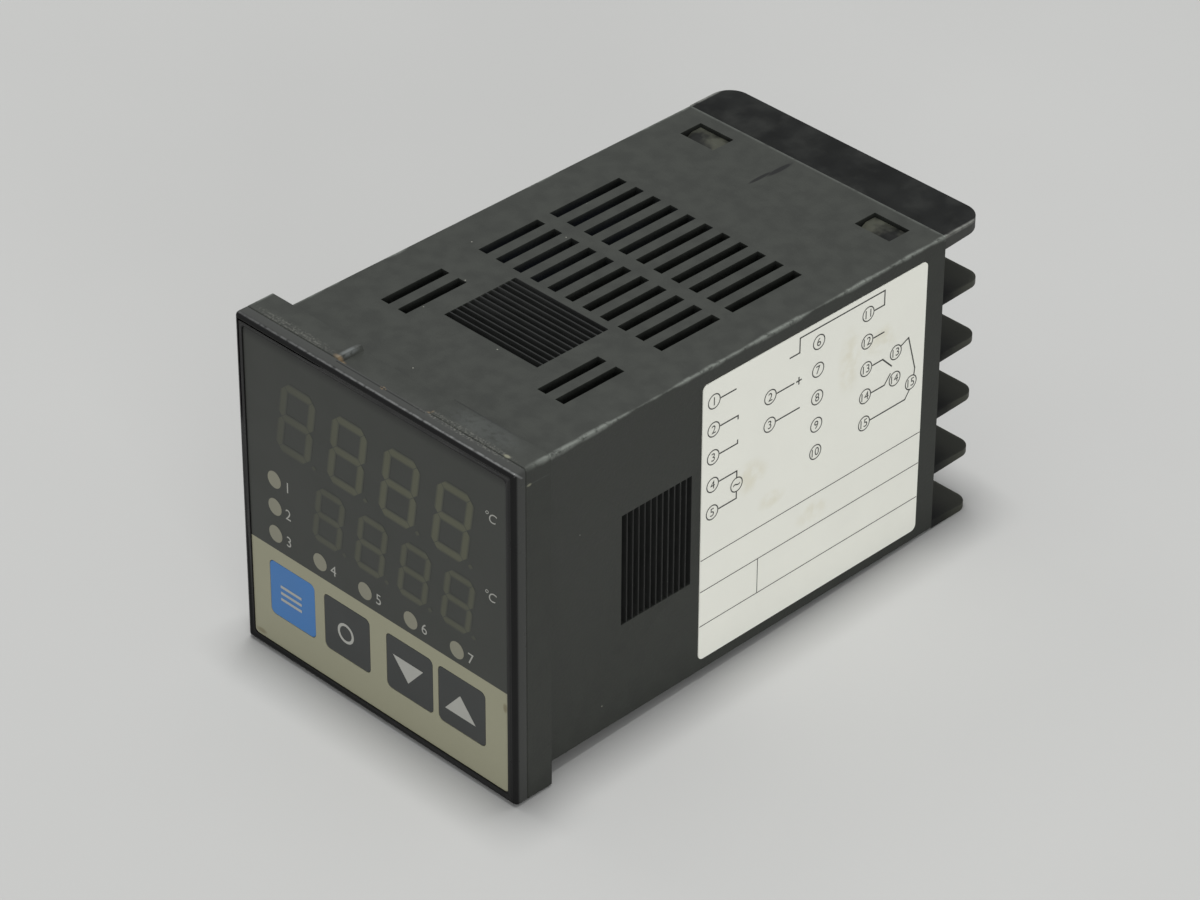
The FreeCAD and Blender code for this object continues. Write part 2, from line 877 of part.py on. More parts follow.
def make_terminal_block():
    """The rear moulding: a plug with hooks, a hood, fins between the rows, and terminal seats."""
    body = new_body("terminal_block")
    base = upright(body, "base", "case_length")
    square(base, "plug_half")
    pad(base, "base_thickness")
    skirt = upright(body, "skirt", "base_face")
    square(skirt, "plug_half")
    square(skirt, "plug_half - skirt_wall")
    pad(skirt, "skirt_depth")

    root_and_tip = dict(
        hood=("hood_low", "rear_half", "rear_half - hood_tip", "rear_half"),
        floor=("-rear_half", "floor_top", "-rear_half", "fin_tip - rear_half"),
        fin=[f"lowest_fin {side} {size}/2" for size in ("fin_thickness", "fin_tip") for side in "-+"],
    )
    for name, (root_low, root_high, tip_low, tip_high) in root_and_tip.items():
        section = sketch(body, name, "YZ_Plane")
        roots = ("case_length", root_high), ("case_length", root_low)
        outline(section, [*roots, ("fin_end", tip_low), ("fin_end", tip_high)])
        fins = pad(section, "2*rear_half", symmetric=True)
    fins = pattern(body, "fins", [fins], ("Z_Axis", "fin_pitch", "fin_count"))
    at_end, at_hood = value("fin_end"), value("hood_low")
    fins = dress(body, "Fillet", fins, "hood_corner", lambda b: at_tip(b, at_end) and b.ZMin > at_hood)
    dress(body, "Fillet", fins, "fin_corner", lambda b: at_tip(b, at_end) and b.ZMax < at_hood)

    root = sketch(body, "root", "YZ_Plane")
    back, rise = "case_length + root_rise", "floor_top + root_rise"
    outline(root, [("case_length", "floor_top"), (back, "floor_top"), ("case_length", rise)])
    pad(root, "2*plug_half", symmetric=True)

    partition = upright(body, "partition", "case_length + partition_depth")
    wide = around("first_column + column_pitch/2", "partition_width")
    rectangle(partition, *wide, "-rear_half", "rear_half")
    wall = pad(partition, "partition_depth")
    pattern(body, "partitions", [wall], ("X_Axis", "column_pitch", "column_count - 1"))

    hook = sketch(body, "hook", "YZ_Plane", "-latch_spacing/2")
    start, stop = "latch_start + latch_gap", "latch_stop - latch_gap"
    for side in ("", "-"):
        low, high = f"{side}plug_half", f"{side}(plug_half + hook_height)"
        outline(hook, [(start, low), (stop, low), (stop, high), (f"({start} + {stop})/2", high)])
    hooks = pad(hook, "latch_width - 2*latch_gap", symmetric=True)
    pattern(body, "hooks", [hooks], ("X_Axis", "latch_spacing", "2"))
    make_terminal_seats(body)


TERMINAL_GRID = ("X_Axis", "column_pitch", "column_count"), ("Z_Axis", "fin_pitch", "row_count")


def tab_outline(drawing, slack):
    """The section of a terminal's tab, at the right edge of its plate."""
    edge = "first_column + plate_side/2"
    left, right = f"{edge} - plate_thickness - {slack}", f"{edge} + {slack}"
    rectangle(drawing, left, right, *around("lowest_row", f"(tab_width + 2*{slack})"))


def make_terminal_seats(body):
    """A recess for each terminal plate, with a screw hole and a slot for the tab."""
    seat = upright(body, "seat", "plate_front")
    side = "(plate_side + 2*plate_gap)"
    rectangle(seat, *around("first_column", side), *around("lowest_row", side))
    seats = [pocket(seat, "plate_thickness")]
    hole = upright(body, "hole", "base_face")
    circle(hole, "first_column", "lowest_row", "screw_diameter/2 + screw_clearance")
    seats.append(pocket(hole, "base_thickness"))
    slot = upright(body, "slot", "base_face")
    tab_outline(slot, "plate_gap")
    seats.append(pocket(slot, "base_thickness"))
    pattern(body, "seats", seats, *TERMINAL_GRID)


def make_terminals():
    """Fifteen plates with tabs, fifteen square washers and fifteen screws."""
    plates = new_body("terminal_plates")
    plate = upright(plates, "plate", "plate_back")
    rectangle(plate, *around("first_column", "plate_side"), *around("lowest_row", "plate_side"))
    circle(plate, "first_column", "lowest_row", "screw_diameter/2 + screw_tap_gap")
    flat = pad(plate, "plate_thickness")
    tab = upright(plates, "tab", "plate_front")
    tab_outline(tab, "0")
    tail = pad(tab, "plate_front - rear_board_face")
    pattern(plates, "grid", [flat, tail], *TERMINAL_GRID)

    washers = new_body("terminal_washers")
    washer = upright(washers, "washer", "washer_back")
    rectangle(washer, *around("first_column", "washer_side"), *around("lowest_row", "washer_side"))
    circle(washer, "first_column", "lowest_row", "screw_diameter/2 + screw_tap_gap")
    pattern(washers, "grid", [pad(washer, "washer_thickness")], *TERMINAL_GRID)

    screws = new_body("terminal_screws")
    shank = upright(screws, "shank", "washer_back")
    circle(shank, "first_column", "lowest_row", "screw_diameter/2")
    shaft = pad(shank, "screw_length")
    head = upright(screws, "head", "screw_back")
    circle(head, "first_column", "lowest_row", "screw_head/2")
    parts = [shaft, pad(head, "screw_head_height")]
    for name, across, up in (
        ("level_slot", "screw_cross", "screw_cross_width"),
        ("upright_slot", "screw_cross_width", "screw_cross"),
    ):
        slot = upright(screws, name, "screw_back - screw_cross_depth")
        rectangle(slot, *around("first_column", across), *around("lowest_row", up))
        parts.append(pocket(slot, "screw_cross_depth"))
    pattern(screws, "grid", parts, *TERMINAL_GRID)


# Circuit boards and what is on them


def make_boards():
    """The display board, the two side boards, the rear board and the headers between them."""
    full = "-board_half", "board_half"
    piece(box("display_board", full, ("board_face", "board_back"), full))
    along = "board_back", "rear_board_face"
    piece(box("power_board", ("-side_board_outer", "-side_board_inner"), along, full))
    piece(box("cpu_board", ("side_board_inner", "side_board_outer"), along, full))

    rear = new_body("rear_board")
    edge = upright(rear, "edge", "skirt_front")
    square(edge, "cavity_half - rear_board_margin")
    pad(edge, "board_thickness")
    slot = upright(rear, "slot", "rear_board_face")
    tab_outline(slot, "plate_gap")
    pattern(rear, "slots", [pocket(slot, "board_thickness")], *TERMINAL_GRID)

    tall = around("0", "header_length")
    wide = dict(power=("power_face", "power_face + header_side"))
    wide["cpu"] = ("cpu_face - header_side", "cpu_face")
    deep = dict(front=("board_back", "board_back + header_side"))
    deep["rear"] = ("rear_board_face - header_side", "rear_board_face")
    for end, depth in deep.items():
        for side, width in wide.items():
            piece(box(f"{end}_header_{side}", width, depth, tall))


def make_transformer():
    """A switching transformer: two E cores about a bobbin that stands on the power board."""
    y, z = "transformer_y", "transformer_z"
    x = "(power_face + bobbin_reach/2)"
    window = "(core_width/2 - core_side - core_leg/2)"
    depth = around(x, "core_thickness")
    inside = "(core_height - 2*core_side)"
    bottom, top = around(z, "core_height")
    halves = []
    for half, height in dict(lower=(bottom, z), upper=(z, top)).items():
        block = box(f"core_{half}_block", depth, around(y, "core_width"), height)
        spaces = []
        for side in ("-", "+"):
            near, far = f"{y} {side} core_leg/2", f"{y} {side} (core_leg/2 + {window})"
            across = (near, far) if side == "+" else (far, near)
            spaces.append(box(f"core_{half}_space_{len(spaces)}", depth, across, around(z, inside)))
        halves.append(cut(f"core_{half}", block, group(f"core_{half}_spaces", spaces)))
    piece(group("transformer_core", halves))

    bore_x, bore_y = "(core_thickness + 2*bobbin_gap)", "(core_leg + 2*bobbin_gap)"
    tube_x, tube_y = (f"({bore} + 2*bobbin_wall)" for bore in (bore_x, bore_y))
    flange_y = f"(core_leg + 2*{window} - 2*bobbin_gap)"
    tube = box("bobbin_tube", around(x, tube_x), around(y, tube_y), around(z, inside))
    solids = [tube]
    ends = dict(lower=(f"{z} - {inside}/2", f"{z} - {inside}/2 + bobbin_flange"))
    ends["upper"] = (f"{z} + {inside}/2 - bobbin_flange", f"{z} + {inside}/2")
    for end, height in ends.items():
        solids.append(box(f"bobbin_{end}", around(x, "bobbin_reach"), around(y, flange_y), height))
    bore = box("bobbin_bore", around(x, bore_x), around(y, bore_y), around(z, inside))
    piece(cut("transformer_bobbin", fuse("bobbin_block", solids), bore))

    coil_x, coil_y = (f"({tube} + 2*winding_build)" for tube in (tube_x, tube_y))
    height = around(z, f"({inside} - 2*bobbin_flange)")
    coil = box("winding_block", around(x, coil_x), around(y, coil_y), height)
    core = box("winding_bore", around(x, tube_x), around(y, tube_y), height)
    piece(cut("transformer_winding", coil, core))


def make_can(name):
    """An electrolytic capacitor standing on the power board, with a crimped neck."""
    radius = f"{name}_can_diameter/2"
    place = f"{name}_can_y", f"{name}_can_z"
    can = rod(f"{name}_can", "x", "power_face", *place, radius, f"{name}_can_height")
    ring = rod(f"{name}_ring", "x", "power_face + can_crimp_height", *place, radius, "can_crimp_height")
    neck = rod(f"{name}_neck", "x", "power_face", *place, f"{radius} - can_crimp", f"{name}_can_height")
    piece(cut(f"{name}_capacitor", can, cut(f"{name}_crimp", ring, neck)))


def make_relay(name):
    """A sealed relay with rounded edges, standing on the power board."""
    body = new_body(f"{name}_relay")
    foot = sketch(body, "foot", "YZ_Plane", "power_face")
    wide, tall = around(f"{name}_relay_y", "relay_width"), around("relay_z", "relay_length")
    rectangle(foot, *wide, *tall, "relay_edge")
    pad(foot, "relay_height")


def make_power_parts():
    """The smaller parts on the power board."""
    radius = "varistor_diameter/2"
    place = f"power_face + {radius}", "varistor_y - varistor_thickness/2", "varistor_z"
    piece(rod("surge_varistor", "y", *place, radius, "varistor_thickness"))
    height = "power_face", "power_face + rectifier_height"
    width = around("rectifier_y", "rectifier_width")
    piece(box("bridge_rectifier", height, width, around("rectifier_z", "rectifier_length")))
    piece(rod("line_fuse", "x", "power_face", "fuse_y", "fuse_z", "fuse_diameter/2", "fuse_height"))
    place = "choke_y", "choke_z"
    foot = rod("choke_foot", "x", "power_face", *place, "choke_flange/2", "choke_rim")
    waist = rod("choke_waist_rod", "x", "power_face", *place, "choke_waist/2", "choke_height")
    top = "power_face + choke_height - choke_rim"
    head = rod("choke_head", "x", top, *place, "choke_flange/2", "choke_rim")
    piece(fuse("line_choke", [foot, waist, head]))


def chip(label, name, face, side, legs, pitch, four_sides=False):
    """A chip on a board face, with legs along its two long sides or along all four."""
    y, z = f"{name}_y", f"{name}_z"
    length, width = f"{name}_length", f"{name}_width"
    height = (face, f"{face} + chip_height") if side == "+" else (f"{face} - chip_height", face)
    foot = (face, f"{face} + leg_thickness") if side == "+" else (f"{face} - leg_thickness", face)
    solids = [box(f"{label}_body", height, around(y, width), around(z, length))]
    for number in range(legs):
        step = f"({number} - ({legs} - 1)/2)*{pitch}"
        reach_y, reach_z = around(y, f"({width} + 2*leg_reach)"), around(z, f"({length} + 2*leg_reach)")
        solids.append(box(f"{label}_leg_{number}", foot, reach_y, around(f"{z} + {step}", "leg_width")))
        if four_sides:
            across = around(f"{y} + {step}", "leg_width")
            solids.append(box(f"{label}_end_leg_{number}", foot, across, reach_z))
    piece(fuse(label, solids))


def make_chips():
    """The chips on the power board and the measuring board."""
    power, cpu = ("power_face", "+"), ("cpu_face", "-")
    chip("power_controller", "controller", *power, 4, "leg_pitch")
    chip("optocoupler", "opto", *power, 2, "2*leg_pitch")
    chip("memory_chip", "memory", *cpu, 4, "leg_pitch")
    chip("input_amplifier", "amplifier", *cpu, 7, "leg_pitch")
    chip("microcontroller", "micro", *cpu, 10, "fine_leg_pitch", four_sides=True)
    height = "cpu_face - crystal_height", "cpu_face"
    width = around("crystal_y", "crystal_width")
    piece(box("crystal", height, width, around("crystal_z", "crystal_length")))


def build():
    """Make every piece of the controller in order."""
    make_case()
    make_front_frame()
    make_film()
    for key in KEYS:
        make_key(key)
        make_switch(key)
    make_label()
    make_display("pv")
    make_display("sv")
    make_indicators()
    make_terminal_block()
    make_terminals()
    make_boards()
    make_transformer()
    make_can("input")
    make_can("output")
    make_relay("output")
    make_relay("alarm")
    make_power_parts()
    make_chips()


def check():
    """Stop if any object failed or any piece is empty or broken."""
    for thing in doc.Objects:
        if {"Invalid", "Error"} & set(thing.State):
            raise RuntimeError(f"{thing.Label} failed: {thing.State}")
    for thing in pieces:
        if thing.Shape.isNull() or not thing.Shape.isValid() or not thing.Shape.Solids:
            raise RuntimeError(f"{thing.Label} has no valid solid")


def export():
    """Write each piece to a file of its own name."""
    os.makedirs("parts", exist_ok=True)
    for thing in pieces:
        thing.Shape.exportStep(f"parts/{thing.Label}.step")
        print(f"{thing.Label}: {len(thing.Shape.Solids)} solid(s), {thing.Shape.Volume:.1f} mm3")


build()
doc.recompute()
check()
export()
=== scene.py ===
"""The looks of a square panel-mounted temperature controller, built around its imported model.

Sizes are in millimetres unless a name says otherwise, in the frame of the model: the origin is
the centre of the panel plane, +X is to the right seen from the front, +Y runs back through the
panel and +Z is up.
"""

import logging
import math
from collections.abc import Iterable, Sequence
from dataclasses import dataclass
from enum import Enum

import bmesh
import bpy
from mathutils import Matrix, Quaternion, Vector


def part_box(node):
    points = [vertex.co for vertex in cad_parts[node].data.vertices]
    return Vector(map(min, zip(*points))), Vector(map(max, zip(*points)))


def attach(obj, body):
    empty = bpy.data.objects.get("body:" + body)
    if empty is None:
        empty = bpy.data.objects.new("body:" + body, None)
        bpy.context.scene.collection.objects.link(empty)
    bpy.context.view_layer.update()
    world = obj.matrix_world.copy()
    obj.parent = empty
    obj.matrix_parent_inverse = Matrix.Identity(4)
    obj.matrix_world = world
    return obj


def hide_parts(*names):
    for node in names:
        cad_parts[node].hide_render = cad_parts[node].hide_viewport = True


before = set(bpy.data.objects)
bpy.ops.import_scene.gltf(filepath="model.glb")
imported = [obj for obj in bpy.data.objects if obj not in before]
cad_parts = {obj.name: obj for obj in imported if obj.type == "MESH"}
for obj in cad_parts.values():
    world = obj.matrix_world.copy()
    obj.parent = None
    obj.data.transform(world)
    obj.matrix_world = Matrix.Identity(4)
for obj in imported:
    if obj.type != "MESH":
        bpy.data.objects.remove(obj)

MM = 0.001
HOUSING = "housing"
log = logging.getLogger("controller")

Point = tuple[float, float]
Place = tuple[float, float, float]


def linear(colour: str) -> tuple[float, float, float, float]:
    """Turn an sRGB hex colour into the linear values that a socket takes.

    Args:
        colour: Six hex digits after a hash, such as "#3a3b39".

    Returns:
        Linear red, green and blue, and an alpha of one.
    """
    parts = [int(colour[start : start + 2], 16) / 255 for start in (1, 3, 5)]
    straight = [v / 12.92 if v <= 0.04045 else ((v + 0.055) / 1.055) ** 2.4 for v in parts]
    return (*straight, 1.0)


def shade(colour: str, share: float) -> tuple[float, float, float, float]:
    """The linear values of a hex colour, made lighter or darker by a share."""
    red, green, blue, alpha = linear(colour)
    return (red * share, green * share, blue * share, alpha)


def add_node(
    tree: bpy.types.NodeTree,
    kind: str,
    inputs: dict[int | str, object] | None = None,
    **settings: object,
) -> bpy.types.Node:
    """Add a node with its settings, its values and its links.

    Args:
        tree: The tree that gets the node.
        kind: The node's class, such as "ShaderNodeTexNoise".
        inputs: A value, a socket or a node for each input, by number or by name.
        settings: The node's own properties.

    Returns:
        The new node.
    """
    node = tree.nodes.new(kind)
    for name, setting in settings.items():
        setattr(node, name, setting)
    shown = [socket for socket in node.inputs if socket.enabled]
    for key, value in (inputs or {}).items():
        socket = shown[key] if isinstance(key, int) else next(s for s in shown if s.name == key)
        if isinstance(value, bpy.types.Node):
            value = next(output for output in value.outputs if output.enabled)
        if isinstance(value, bpy.types.NodeSocket):
            tree.links.new(value, socket)
        else:
            socket.default_value = value
    return node


# Finishes

Signal = bpy.types.Node | bpy.types.NodeSocket | float
# The two limits of a mask, then the most that it gives or the width of its fade
Span = tuple[float, float, float]
# The middle of a soft spot and its reach along each axis, of which a share is full
Smear = tuple[Place, Place]
FULL_SHARE = 0.35


@dataclass(frozen=True)
class Clouds:
    """Soft clouds: their size, the noise where they are clear and full, their top and their detail."""

    size: float
    clear: float = 0.3
    full: float = 0.7
    top: float = 1.0
    detail: float = 3.0


@dataclass(frozen=True)
class Stain:
    """Smears of one sRGB tint, how strong they are, and the clouds that break them up."""

    tint: str
    strength: float
    smears: tuple[Smear, ...]
    broken: Clouds | None = None


class Paint:
    """The nodes of one material, and the point that they paint, in millimetres."""

    def __init__(self, tree: bpy.types.NodeTree) -> None:
        """Start from an empty tree.

        Args:
            tree: The material's tree.
        """
        tree.nodes.clear()
        self.tree = tree
        spot = add_node(tree, "ShaderNodeTexCoord").outputs["Object"]
        values = {0: spot, "Scale": 1 / MM}
        self.place = add_node(tree, "ShaderNodeVectorMath", values, operation="SCALE")
        self.across, self.back, self.up = add_node(tree, "ShaderNodeSeparateXYZ", {0: self.place}).outputs

    def joined(self, operation: str, first: Signal, *others: Signal) -> Signal:
        """Join values from the left by one operation.

        Args:
            operation: How a math node joins two values, such as "ADD".
            first: The first value.
            others: The values that join it.

        Returns:
            The node that gives the result.
        """
        for other in others:
            first = add_node(self.tree, "ShaderNodeMath", {0: first, 1: other}, operation=operation)
        return first

    def mask(self, *parts: Signal) -> Signal:
        """Where several masks all are, as their product."""
        return self.joined("MULTIPLY", *parts)

    def ramp(self, value: Signal, start: float, stop: float, top: float = 1.0) -> bpy.types.Node:
        """A mask that goes smoothly from nought to its top.

        Args:
            value: The value that it follows.
            start: Where it is still nought.
            stop: Where it reaches its top, on either side of the start.
            top: The most that it gives.

        Returns:
            The node that gives the mask.
        """
        values = {"Value": value, "From Min": start, "From Max": stop, "To Max": top}
        return add_node(self.tree, "ShaderNodeMapRange", values, interpolation_type="SMOOTHSTEP")

    def band(self, value: Signal, low: float, high: float, soft: float) -> Signal:
        """A mask that is nought at two limits and one between them.

        Args:
            value: The value that it follows.
            low: The lower limit.
            high: The upper limit.
            soft: The width of the fade inside each limit.

        Returns:
            The node that gives the mask.
        """
        return self.mask(self.ramp(value, low, low + soft), self.ramp(value, high, high - soft))

    def clouds(self, look: Clouds) -> bpy.types.Node:
        """The mask of soft clouds of one look."""
        values = {"Vector": self.place, "Scale": 1 / look.size, "Detail": look.detail}
        return self.ramp(add_node(self.tree, "ShaderNodeTexNoise", values), look.clear, look.full, look.top)

    def smears(self, smears: Iterable[Smear]) -> Signal:
        """A mask that is one in the middle of each smear and fades to nought at its reach.

        Args:
            smears: The soft spots.

        Returns:
            The node that gives the mask, or nought without smears.
        """
        mask = 0.0
        for middle, reach in smears:
            share = self.place
            for operation, other in (("SUBTRACT", middle), ("DIVIDE", reach)):
                values = {0: share, 1: other}
                share = add_node(self.tree, "ShaderNodeVectorMath", values, operation=operation)
            away = add_node(self.tree, "ShaderNodeVectorMath", {0: share}, operation="LENGTH")
            mask = self.joined("MAXIMUM", mask, self.ramp(away, 1.0, FULL_SHARE))
        return mask

    def lay(self, colour: Signal, *layers: tuple[Signal, str]) -> Signal:
        """Lay tints over a colour, one after the other.

        Args:
            colour: The colour so far.
            layers: The mask and the sRGB tint of each layer.

        Returns:
            The node that gives the new colour.
        """
        for mask, tint in layers:
            values = {"Factor": mask, "A": colour, "B": linear(tint)}
            colour = add_node(self.tree, "ShaderNodeMix", values, data_type="RGBA")
        return colour

    def stained(self, colour: Signal, stains: Iterable[Stain]) -> Signal:
        """Lay stains over a colour, one after the other.

        Args:
            colour: The colour so far.
            stains: The stains, the lowest first.

        Returns:
            The node that gives the new colour.
        """
        for stain in stains:
            mask = self.mask(self.smears(stain.smears), stain.strength)
            if stain.broken:
                mask = self.mask(mask, self.clouds(stain.broken))
            colour = self.lay(colour, (mask, stain.tint))
        return colour


@dataclass(frozen=True)
class Finish:
    """A real material and how its surface was made.

    Attributes:
        name: The material's common name.
        colour: Its sRGB colour.
        roughness: How matt it is.
        metallic: One for a bare metal.
        mottle: How far the colour wanders, as a share of it.
        mottle_size: The size of one cloud of that wandering.
        grain: The size of one bump of the surface.
        grain_depth: How deep the bumps are.
        specular: How strongly the face of a plastic mirrors.
        uneven: How far the roughness wanders.
        grain_detail: How many times finer bumps are added.
        stains: What lies on it, the lowest first.
    """

    name: str
    colour: str
    roughness: float = 0.5
    metallic: float = 0.0
    mottle: float = 0.04
    mottle_size: float = 5.0
    grain: float = 0.5
    grain_depth: float = 0.004
    specular: float = 0.5
    uneven: float = 0.05
    grain_detail: float = 2.0
    stains: tuple[Stain, ...] = ()

    def material(self) -> bpy.types.Material:
        """The material of this finish, which is made on its first use."""
        return bpy.data.materials.get(self.name) or self.make()

    def make(self) -> bpy.types.Material:
        """Build the material: clouded colour, marks, stains, uneven gloss and grain.

        Returns:
            The new material.
        """
        material = bpy.data.materials.new(self.name)
        material.use_nodes = True
        paint = Paint(material.node_tree)
        cloud = paint.clouds(Clouds(self.mottle_size))
        dark, light = shade(self.colour, 1 - self.mottle), shade(self.colour, 1 + self.mottle)
        values = {"Factor": cloud, "A": dark, "B": light}
        colour = add_node(paint.tree, "ShaderNodeMix", values, data_type="RGBA")
        low, high = self.roughness - self.uneven, self.roughness + self.uneven
        values = {"Value": cloud, "To Min": low, "To Max": high}
        gloss = add_node(paint.tree, "ShaderNodeMapRange", values)
        values = {"Vector": paint.place, "Scale": 1 / self.grain, "Detail": self.grain_detail}
        bumps = add_node(paint.tree, "ShaderNodeTexNoise", values)
        values = {"Height": bumps, "Distance": self.grain_depth * MM, "Strength": 1.0}
        relief = add_node(paint.tree, "ShaderNodeBump", values)
        values = {
            "Base Color": paint.stained(self.marks(paint, colour), self.stains),
            "Roughness": gloss,
            "Normal": relief,
            "Metallic": self.metallic,
            "Specular IOR Level": self.specular,
        }
        surface = add_node(paint.tree, "ShaderNodeBsdfPrincipled", values)
        add_node(paint.tree, "ShaderNodeOutputMaterial", {"Surface": surface})
        return material

    def marks(self, paint: Paint, colour: Signal) -> Signal:
        """Lay prints and wear over the colour, which a plain finish has none of."""
        return colour


# Tints of dust, dirt, painted light and painted shadow, and how dirt breaks up: into scuffs, fine flecks or
# loose patches
DUST = "#b4b3a8"
HAZE_AND_PAINTED_LIGHT = "#9da2a2"
SOIL = "#a88c66"
CRUMB = "#a5a48c"
DARK = "#121312"
SCUFFS = Clouds(0.7, 0.2, 0.55)
FLECKS = Clouds(0.3, 0.45, 0.65)
PATCHES = Clouds(1.4, 0.1, 0.5)


@dataclass(frozen=True)
class WornCase(Finish):
    """Moulded ABS with a spark-eroded grain, rubbed along its edges, which also carry a painted highlight
    above, and dusty in its corners; painted shade lies over the ratchet and in the openings.
    """

    # The tint of rubbed wear, and of the painted highlight on the upper long edges
    rubbed: str = "#959a93"
    taper: float = 0.3 / 69.6
    flange_step: float = 1.7
    wander: Clouds = Clouds(6.0, top=0.45)
    widened: Span = (13.3, 0.0, 0.225)
    edge: Span = (22.1, 22.6, 0.4)
    edge_back: Span = (-5.0, 0.5, 1.0)
    rear: Span = (69.1, 69.5, 0.12)
    rear_low: float = 21.3
    # Painted shade inside the vents and the other openings
    sunken: Span = (22.28, 22.05, 0.35)
    speck_pitch: float = 3.4
    speck: float = 0.03
    speck_gap: float = 0.62
    speck_light: float = 0.4
    # The painted shade over the ratchet grooves
    grip: Span = (13.2, 25.2, 0.1)
    grip_side: Span = (8.1, 8.0, 0.92)
    stains: tuple[Stain, ...] = (
        # A painted shadow line where the flange meets the top
        Stain(DARK, 0.6, (((13.0, 0.0, 24.0), (8.0, 0.35, 0.4)),)),
        # Haze on the flange, and haze with painted light on the slope at the end of its notch
        Stain(
            HAZE_AND_PAINTED_LIGHT,
            0.05,
            (((15.0, -1.7, 24.0), (7.5, 2.6, 0.6)), ((24.0, -1.9, 21.6), (0.4, 2.4, 0.12))),
            SCUFFS,
        ),
        Stain(HAZE_AND_PAINTED_LIGHT, 0.3, (((-8.2, -2.0, 23.7), (0.6, 2.6, 0.6)),), SCUFFS),
        # Dust along the seam with the frame, soil in the ends of the notch, crumbs at the corner
        Stain(
            DUST,
            0.12,
            (((-16.0, -3.4, 24.0), (9.0, 0.9, 0.6)), ((14.0, -3.6, 24.0), (11.0, 0.6, 0.6))),
            FLECKS,
        ),
        Stain(
            SOIL,
            0.4,
            (((-8.0, -3.6, 23.6), (1.4, 0.6, 0.7)), ((7.6, -3.6, 23.6), (1.0, 0.6, 0.7))),
            PATCHES,
        ),
        Stain(
            CRUMB, 0.38, (((20.6, -3.7, 24.0), (0.7, 0.35, 0.4)), ((24.0, -3.5, 21.6), (0.4, 0.5, 0.25)))
        ),
        # The scratch near the rear edge
        Stain(
            DARK, 1.6, (((-3.1, 66.3, 22.0), (0.5, 2.8, 0.6)), ((-3.45, 63.2, 22.0), (0.36, 2.6, 0.6)))
        ),
    )

    def edges(self, paint: Paint) -> tuple[Signal, Signal]:
        """Measure how a point lies to the long edges and to the outside, with the draft taken off.

        Args:
            paint: The material's nodes.

        Returns:
            The nearness to a long edge and the reach to the outside.
        """
        wide, tall = (
            add_node(paint.tree, "ShaderNodeMath", {0: axis}, operation="ABSOLUTE")
            for axis in (paint.across, paint.up)
        )
        draft = paint.joined("MULTIPLY", paint.back, self.taper)
        flange = paint.joined("LESS_THAN", paint.back, 0.0)
        step = paint.joined("MULTIPLY", flange, -self.flange_step)
        near = paint.joined("ADD", paint.joined("MINIMUM", wide, tall), draft, step)
        return near, paint.joined("ADD", paint.joined("MAXIMUM", wide, tall), draft)

    def marks(self, paint: Paint, colour: Signal) -> Signal:
        """Rub the upper edges pale with wear and a painted highlight, scatter specks of dust, and paint
        shade over the ratchet grip and in the openings.

        Args:
            paint: The material's nodes.
            colour: The colour so far.

        Returns:
            The colour with the marks.
        """
        near, reach = self.edges(paint)
        widened = paint.ramp(paint.back, *self.widened)
        spread = paint.joined("ADD", near, paint.clouds(self.wander), widened)
        # Rubbed wear along the long edges, kept to the upper ones, where it is also a painted highlight;
        # and rubbed wear along the top rear edge
        edge = paint.mask(
            paint.ramp(spread, *self.edge),
            paint.ramp(paint.back, *self.edge_back),
            paint.joined("GREATER_THAN", paint.up, 0.0),
        )
        top = paint.joined("GREATER_THAN", paint.up, self.rear_low)
        rear = paint.mask(paint.ramp(paint.back, *self.rear), top)
        edge_wear_and_highlight = paint.mask(paint.joined("MAXIMUM", edge, rear), paint.clouds(SCUFFS))
        values = {"Vector": paint.place, "Scale": 1 / self.speck_pitch}
        cells = add_node(paint.tree, "ShaderNodeTexVoronoi", values)
        specks = paint.mask(
            paint.joined("LESS_THAN", cells.outputs["Distance"], self.speck),
            paint.joined("GREATER_THAN", cells.outputs["Color"], self.speck_gap),
            self.speck_light,
        )
        # Painted shade over the ratchet grooves
        grip = paint.mask(paint.ramp(near, *self.grip_side), paint.band(paint.back, *self.grip))
        return paint.lay(
            colour,
            (edge_wear_and_highlight, self.rubbed),
            (specks, DUST),
            (grip, DARK),
            # Painted shade inside the vents and the other openings
            (paint.ramp(reach, *self.sunken), DARK),
        )


